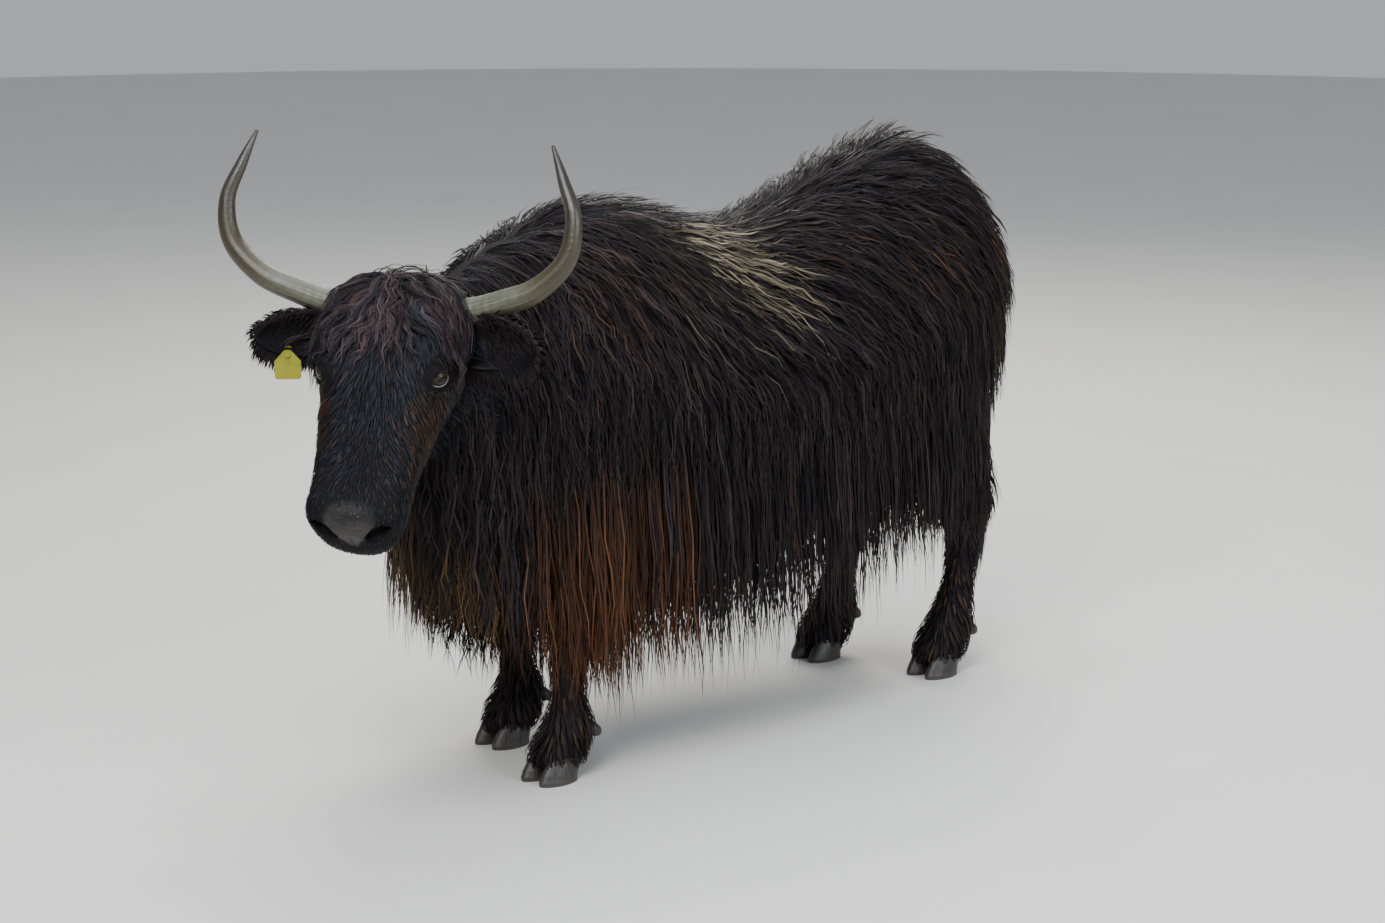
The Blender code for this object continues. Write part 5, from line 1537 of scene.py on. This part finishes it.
class YAK_OT_skirt(bpy.types.Operator):
    """Hangs the long skirt from flanks, belly and chest."""

    bl_idname = "yak.skirt"
    bl_label = "Skirt"

    def execute(self, context):
        draw = np.random.default_rng(32)
        skin = Skin()
        middles, normals = skin.middles, skin.normals
        band = (middles[:, 2] > 0.37) & (middles[:, 2] < 0.66) & (normals[:, 2] < 0.25) & (middles[:, 1] > -0.42)
        places = on_head(middles)
        band &= ~((places[:, 1] > 0.0) & (middles[:, 1] < -0.36))
        low = np.where(middles[:, 2] < 0.52, 1.0, 0.55) * np.where(normals[:, 2] < -0.75, 0.25, 1.0)
        roots, _ = skin.scatter(np.where(band, low, 0.0), 0.0235, draw)
        count = len(roots)
        tips = tip_height(roots[:, 1]) + draw.normal(-0.004, 0.026, count)
        lengths = np.maximum(0.08, roots[:, 2] - tips)
        lifts = 0.022 * draw.uniform(0.3, 1.3, count)

        def lie(point, out):
            return Vector((0.10 * math.copysign(1, point.x), 0.08, -1.0)) + ripple(point, 5.0, 0.34)

        paths, outs = comb(skin, roots, lengths, lifts, 7, lie)
        place, out, locks, light = clumps(skin, paths, outs, 4, 0.020, 0.50, 0.0095, draw, 0.62)
        widths = 0.0034 * draw.uniform(0.5, 1.3, len(place))
        add_hair("coat_skirt", coat_material(), place, out, widths, widths * 0.36,
                 coat_colours(place[:, 5], locks, light, draw, 0.15), unrolled(place[:, 0], *TRUNK_MAP), draw)
        return {"FINISHED"}


class YAK_OT_forelock(bpy.types.Operator):
    """Grows the mop that falls from the poll over forehead and brows."""

    bl_idname = "yak.forelock"
    bl_label = "Forelock"

    def execute(self, context):
        draw = np.random.default_rng(33)
        skin = Skin()
        places = on_head(skin.middles)
        crown = ((places[:, 1] > -0.060) & (places[:, 1] < 0.070) & (places[:, 2] > 0.0)
                 & (np.abs(places[:, 0]) < 0.112))
        roots, _ = skin.scatter(np.where(crown, 1.0, 0.0), 0.0150, draw)
        count = len(roots)
        at = on_head(roots)
        left, along, up = (Vector(axis) for axis in AXES)

        def lie(point, out):
            x = on_head(np.array(point)[None])[0][0]
            return along + left * (x * 7.0) + ripple(point, 13.0, 0.65)

        reach = np.interp(at[:, 1], (-0.060, 0.0, 0.070), (0.235, 0.190, 0.120))
        lengths = reach * draw.uniform(0.58, 1.12, count)
        lifts = np.interp(at[:, 1], (-0.060, 0.070), (0.018, 0.012)) * draw.uniform(0.3, 1.4, count)
        paths, outs = comb(skin, roots, lengths, lifts, 10, lie, hang=False)
        place, out, index, light = clumps(skin, paths, outs, 15, 0.0125, 0.82, 0.0062, draw, 0.55, curl=0.60)
        clear = clear_of_eyes(place)
        place, out, index, light = place[clear], out[clear], index[clear], light[clear]
        total = len(place)
        widths = 0.0024 * draw.uniform(0.55, 1.3, total)
        # Each hair's shade takes the painted shade across its lock from clumps
        shade = (np.exp(draw.normal(0, 0.34, count)[index] + draw.normal(0, 0.20, total)) * light)[:, None]
        warm = draw.uniform(0.1, 1.0, count)[index][:, None]
        root = (BLACK * (1 - warm) + PLUM * 0.25 * warm) * shade
        # The tips get the painted bluish sheen on the dark locks and are painted 1.6 times lighter: partly lighter tips
        # of their own, partly painted highlight
        tip = (BLUE_SHEEN * 0.8 * (1 - warm) + PLUM * warm) * shade * 1.6
        add_hair("forelock", coat_material(), place, out, widths, widths * 0.45, (root, tip),
                 unrolled(place[:, 0], *HEAD_MAP), draw)
        return {"FINISHED"}


def face_lie(point, out):
    """The lie on the face: down the bridge and away from its middle, back over the cheeks."""
    x, y, z = on_head(np.array(point)[None])[0]
    left, along, up = (Vector(axis) for axis in AXES)
    away = left * (9.0 * x if abs(x) < 0.1 else math.copysign(0.9, x))
    return along * np.interp(z, (-0.10, -0.02, 0.04), (0.1, 0.35, 0.9)) + away * 0.6 - up * 0.5 + ripple(point, 22.0, 0.3)


class YAK_OT_face_fur(bpy.types.Operator):
    """Lays the short fur of the face, longer on cheeks and jaw."""

    bl_idname = "yak.face_fur"
    bl_label = "Face fur"

    def execute(self, context):
        draw = np.random.default_rng(34)
        skin = Skin()
        middles = skin.middles
        places = on_head(middles)
        face = (places[:, 1] > 0.0) & (np.abs(places[:, 0]) < 0.125) & (middles[:, 1] < -0.36) & (places[:, 2] > -0.2)
        bare = pad_mask(places) > 0.4
        lids = eye_distance(middles) < 1.0
        mouth = sum(crease(places, np.array(MOUTH_LINE) * (side, 1, 1), 1.0, 0.003) for side in (1, -1))
        weight = np.where(face & ~bare & ~lids & (mouth < 0.5), 1.0, 0.0)
        roots, _ = skin.scatter(weight, 0.0052, draw)
        count = len(roots)
        at = on_head(roots)
        lengths = np.interp(at[:, 1], (0.0, 0.12, 0.22, 0.36, 0.44), (0.042, 0.030, 0.021, 0.014, 0.007))
        lengths *= np.interp(at[:, 2], (-0.16, -0.05, 0.03), (2.1, 1.5, 1.2)) * draw.uniform(0.7, 1.25, count)
        lengths *= np.interp(eye_distance(roots), (1.0, 2.2), (0.35, 1.0))
        lifts = lengths * draw.uniform(0.06, 0.22, count)
        paths, outs = comb(skin, roots, lengths, lifts, 4, face_lie, hang=False)
        clear = clear_of_eyes(paths, 0.92)
        paths, outs, roots, at, lengths = (rows[clear] for rows in (paths, outs, roots, at, lengths))
        count = len(paths)
        widths = np.interp(lengths, (0.006, 0.04), (0.0012, 0.0028)) * draw.uniform(0.7, 1.3, count)
        shade = np.exp(draw.normal(0, 0.38, (count, 1)))
        cheek = (np.interp(np.abs(at[:, 0]), (0.045, 0.075), (0.0, 1.0))
                 * np.exp(-((at[:, 1] - 0.235) / 0.085) ** 2 - ((at[:, 2] - 0.005) / 0.060) ** 2))
        brown = (draw.random(count) < 0.9 * cheek + 0.05)[:, None]
        root = np.where(brown, UMBER * 0.6, BLACK * 1.1) * shade
        # The tips of the black hairs take the painted bluish sheen
        tip = np.where(brown, CHESTNUT * 0.9, BLUE_SHEEN) * shade
        add_hair("face_fur", coat_material(), paths, outs, widths, widths * 0.4, (root, tip),
                 unrolled(roots, *HEAD_MAP), draw)
        return {"FINISHED"}


class YAK_OT_ear_fringe(bpy.types.Operator):
    """Fringes the ears and furs their backs."""

    bl_idname = "yak.ear_fringe"
    bl_label = "Ear fringe"

    def execute(self, context):
        draw = np.random.default_rng(35)
        skin = Skin()
        rows = []
        for side in (1, -1):
            root, out, across, facing = ear_frame(side)
            low = 1 if across[2] < 0 else -1
            ragged = 0.75 if side < 0 else 0.9
            for _ in range(1500):
                u = draw.uniform(0.06, 0.98)
                edge = draw.random() < 0.30
                v = draw.choice((-1, 1, low, low)) * draw.uniform(0.84, 1.0) if edge else draw.uniform(-0.95, 0.95)
                inner = draw.random() < 0.6
                face = facing if inner else -facing
                start = ear_point(side, u, v, 0.0 if inner else -EAR_THICKNESS)
                length = draw.uniform(0.016, 0.030)
                if edge:
                    length *= (1.6 if v * low > 0 else 1.0) * ragged
                way = unit(out * draw.uniform(0.6, 1.1) + across * (v * (0.9 if edge else 0.2)) + face * 0.25
                           + draw.normal(0, 0.14, 3))
                path = [start - face * 0.001]
                for i in range(1, 4):
                    way = unit(way + np.array((0, 0, -0.20 * i)))
                    path.append(path[-1] + way * length / 3)
                # The last value marks hairs on the ear's upper edge, whose tips get a painted rim light
                rows.append((path, [face] * 4, 1.0 if edge and v * low < 0 else 0.0))
        paths = np.array([row[0] for row in rows])
        outs = np.array([row[1] for row in rows])
        rim = np.array([row[2] for row in rows])[:, None]
        count = len(paths)
        widths = 0.0024 * draw.uniform(0.6, 1.3, count)
        shade = np.exp(draw.normal(0, 0.25, (count, 1)))
        # Painted rim light: tips along the ear's upper edge painted much lighter
        root, tip = BLACK * shade, SOOT * (1.3 + 2.2 * rim) * shade
        add_hair("ear_fringe", coat_material(), paths, outs, widths, widths * 0.4, (root, tip),
                 unrolled(paths[:, 0], *HEAD_MAP), draw)
        return {"FINISHED"}


class YAK_OT_leg_fur(bpy.types.Operator):
    """Furs the legs, shaggier round the pasterns."""

    bl_idname = "yak.leg_fur"
    bl_label = "Leg fur"

    def execute(self, context):
        draw = np.random.default_rng(36)
        skin = Skin()
        legs = skin.middles[:, 2] < 0.46
        axes = {name: leg_path(name, 30) for name in LEGS}
        near = np.full(len(skin.middles), 9.0)
        for path in axes.values():
            flat = np.abs(skin.middles[:, None, 2] - path[None, :, 2]).argmin(1)
            near = np.minimum(near, np.linalg.norm(skin.middles[:, :2] - path[flat, :2], axis=1))
        weight = np.where(legs & (near < 0.085) & (skin.middles[:, 2] > 0.035), 1.0, 0.0)
        roots, normals = skin.scatter(weight, 0.0086, draw)
        count = len(roots)
        lengths = np.interp(roots[:, 2], (0.03, 0.07, 0.13, 0.20, 0.45), (0.036, 0.048, 0.040, 0.027, 0.042))
        lengths *= draw.uniform(0.7, 1.25, count) * np.where((normals[:, 1] > 0) & (roots[:, 2] < 0.15), 1.5, 1.0)
        lengths = np.minimum(lengths, np.maximum(0.012, roots[:, 2] - 0.008))
        lifts = lengths * draw.uniform(0.10, 0.32, count)

        def lie(point, out):
            return Vector((0, 0.12, -1.0)) + ripple(point, 16.0, 0.30)

        place, out = comb(skin, roots, lengths, lifts, 4, lie, hang=False)
        total = len(place)
        widths = 0.0036 * draw.uniform(0.6, 1.3, total)
        shade = np.exp(draw.normal(0, 0.35, (total, 1)))
        warm = (draw.random((total, 1)) < 0.22)
        root = np.where(warm, UMBER * 0.7, BLACK) * shade
        tip = np.where(warm, UMBER * 1.4, SOOT * 1.2) * shade
        add_hair("leg_fur", coat_material(), place, out, widths, widths * 0.42, (root, tip),
                 unrolled(place[:, 0], (0, 0.45, 0), (0, 0, 1), (0, -1, 0), 0.0, 0.5), draw)
        return {"FINISHED"}


class YAK_OT_tail_brush(bpy.types.Operator):
    """Hangs the long hair of the tail."""

    bl_idname = "yak.tail_brush"
    bl_label = "Tail brush"

    def execute(self, context):
        draw = np.random.default_rng(37)
        rows = smooth_rows(TAIL, 60)
        count, stations = 1300, 9
        share = draw.uniform(0.22, 0.97, count)
        at = (share * 59).astype(int)
        turn = draw.uniform(0, 2 * math.pi, count)
        out = np.column_stack([np.cos(turn), np.sin(turn), np.zeros(count)])
        roots = np.column_stack([np.zeros(count), rows[at, 0], rows[at, 1]]) + out * (rows[at, 2] * 0.55)[:, None]
        low = 0.17 + draw.normal(0.0, 0.03, count)
        lengths = np.minimum(draw.uniform(0.22, 0.46, count), roots[:, 2] - low)
        t = np.linspace(0, 1, stations)[None, :, None]
        swell = 0.030 * np.sin(np.minimum(1.0, t * 1.6) * math.pi / 2)
        way = np.array((0, 0.02, -1.0))
        paths = roots[:, None] + way * lengths[:, None, None] * t + out[:, None] * swell * draw.uniform(0.3, 1.3, (count, 1, 1))
        side = np.column_stack([-out[:, 1], out[:, 0], np.zeros(count)])
        phase = draw.uniform(0, 2 * math.pi, (count, 1, 1))
        paths += side[:, None] * 0.006 * np.sin(t * 11 * lengths[:, None, None] / 0.3 + phase) * np.minimum(1, t * 2)
        gather = np.clip((t - 0.4) / 0.6, 0, 1) ** 1.5 * 0.35
        middle = np.zeros_like(paths)
        middle[..., 1] = 1.19
        middle[..., 2] = paths[..., 2]
        paths = paths * (1 - gather) + middle * gather
        outs = np.repeat(out[:, None], stations, axis=1)
        widths = 0.0055 * draw.uniform(0.6, 1.3, count)
        shade = np.exp(draw.normal(0, 0.25, (count, 1)))
        warm = (draw.random((count, 1)) < 0.25)
        root = np.where(warm, UMBER * 0.7, BLACK) * shade
        tip = np.where(warm, CHESTNUT, SOOT * 1.2) * shade
        add_hair("tail_brush", coat_material(), paths, outs, widths, widths * 0.45, (root, tip),
                 unrolled(roots, (0, 1.17, 0), (0, 0, 1), (0, 1, 0), 0.2, 1.0), draw)
        return {"FINISHED"}


# The camera, fitted to the photograph, in the yak's own measure
CAMERA_AT = Vector((4.565, -4.025, 1.885))
CAMERA_AIM = Vector((-0.212, 0.579, 0.456))


def soft_light(name, place, aim, size, power_watts, colour=(1.0, 1.0, 1.0)):
    """A large soft panel of light."""
    lamp = bpy.data.lights.new(name, "AREA")
    lamp.shape = "RECTANGLE"
    lamp.size, lamp.size_y = size
    lamp.energy = power_watts
    lamp.color = colour
    obj = bpy.data.objects.new(name, lamp)
    bpy.context.scene.collection.objects.link(obj)
    obj.location = Vector(place)
    obj.rotation_euler = (Vector(aim) - Vector(place)).to_track_quat("-Z", "Y").to_euler()
    return obj


class YAK_OT_stage(bpy.types.Operator):
    """Sets the plain pale floor, soft light and the camera."""

    bl_idname = "yak.stage"
    bl_label = "Stage"

    def execute(self, context):
        scene = context.scene
        bm = bmesh.new()
        bmesh.ops.create_circle(bm, cap_ends=True, segments=96, radius=14.0)
        floor = add_object("floor", bm)
        floor.data.materials.append(floor_material(scene.yak_colours))
        camera = bpy.data.cameras.new("photo_camera")
        camera.lens = scene.yak_sizes.camera_lens
        camera.sensor_width = 36.0
        camera.clip_end = 100.0
        rig = bpy.data.objects.new("photo_camera", camera)
        scene.collection.objects.link(rig)
        rig.location = CAMERA_AT + Vector(SHIFT)
        rig.rotation_euler = (CAMERA_AIM - CAMERA_AT).to_track_quat("-Z", "Y").to_euler()
        scene.camera = rig
        soft_light("key", (2.5, -4.5, 4.5), (0, 0, 0.6), (3.0, 3.0), 480)
        soft_light("fill", (5.0, 0.5, 2.2), (0, 0.2, 0.6), (3.5, 2.5), 170, (0.86, 0.92, 1.0))
        soft_light("rim", (-2.5, 3.5, 4.2), (0, 0.2, 0.9), (3.0, 2.0), 230, (1.0, 0.97, 0.92))
        soft_light("top", (0.0, 0.3, 5.0), (0, 0.3, 0.8), (4.0, 4.0), 210, (0.90, 0.95, 1.0))
        world = bpy.data.worlds.new("studio")
        world.use_nodes = True
        background = world.node_tree.nodes["Background"]
        background.inputs["Color"].default_value = (0.92, 0.95, 1.0, 1.0)
        background.inputs["Strength"].default_value = 0.48
        scene.world = world
        return {"FINISHED"}


OPERATORS = (YAK_OT_stage, YAK_OT_skin, YAK_OT_eyes, YAK_OT_horns, YAK_OT_hooves, YAK_OT_ear_tag, YAK_OT_trunk_coat,
             YAK_OT_skirt, YAK_OT_forelock, YAK_OT_face_fur, YAK_OT_ear_fringe, YAK_OT_leg_fur, YAK_OT_tail_brush)


class YAK_PT_panel(bpy.types.Panel):
    """Lists the yak's pieces."""

    bl_idname = "YAK_PT_panel"
    bl_label = "Yak"
    bl_space_type = "VIEW_3D"
    bl_region_type = "UI"
    bl_category = "Yak"

    def draw(self, context):
        layout = self.layout
        for group in (context.scene.yak_sizes, context.scene.yak_colours):
            for key in group.__annotations__:
                layout.prop(group, key)
        for operator in OPERATORS:
            layout.operator(operator.bl_idname)


CLASSES = (YakSizes, YakColours, *OPERATORS, YAK_PT_panel)


def register():
    for cls in CLASSES:
        bpy.utils.register_class(cls)
    bpy.types.Scene.yak_sizes = bpy.props.PointerProperty(type=YakSizes)
    bpy.types.Scene.yak_colours = bpy.props.PointerProperty(type=YakColours)


def unregister():
    del bpy.types.Scene.yak_colours
    del bpy.types.Scene.yak_sizes
    for cls in reversed(CLASSES):
        bpy.utils.unregister_class(cls)


def main():
    register()
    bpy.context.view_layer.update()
    for operator in OPERATORS:
        group, name = operator.bl_idname.split(".")
        result = getattr(getattr(bpy.ops, group), name)()
        if result != {"FINISHED"}:
            raise RuntimeError(f"{operator.bl_idname} did not finish")


if __name__ == "__main__":
    main()
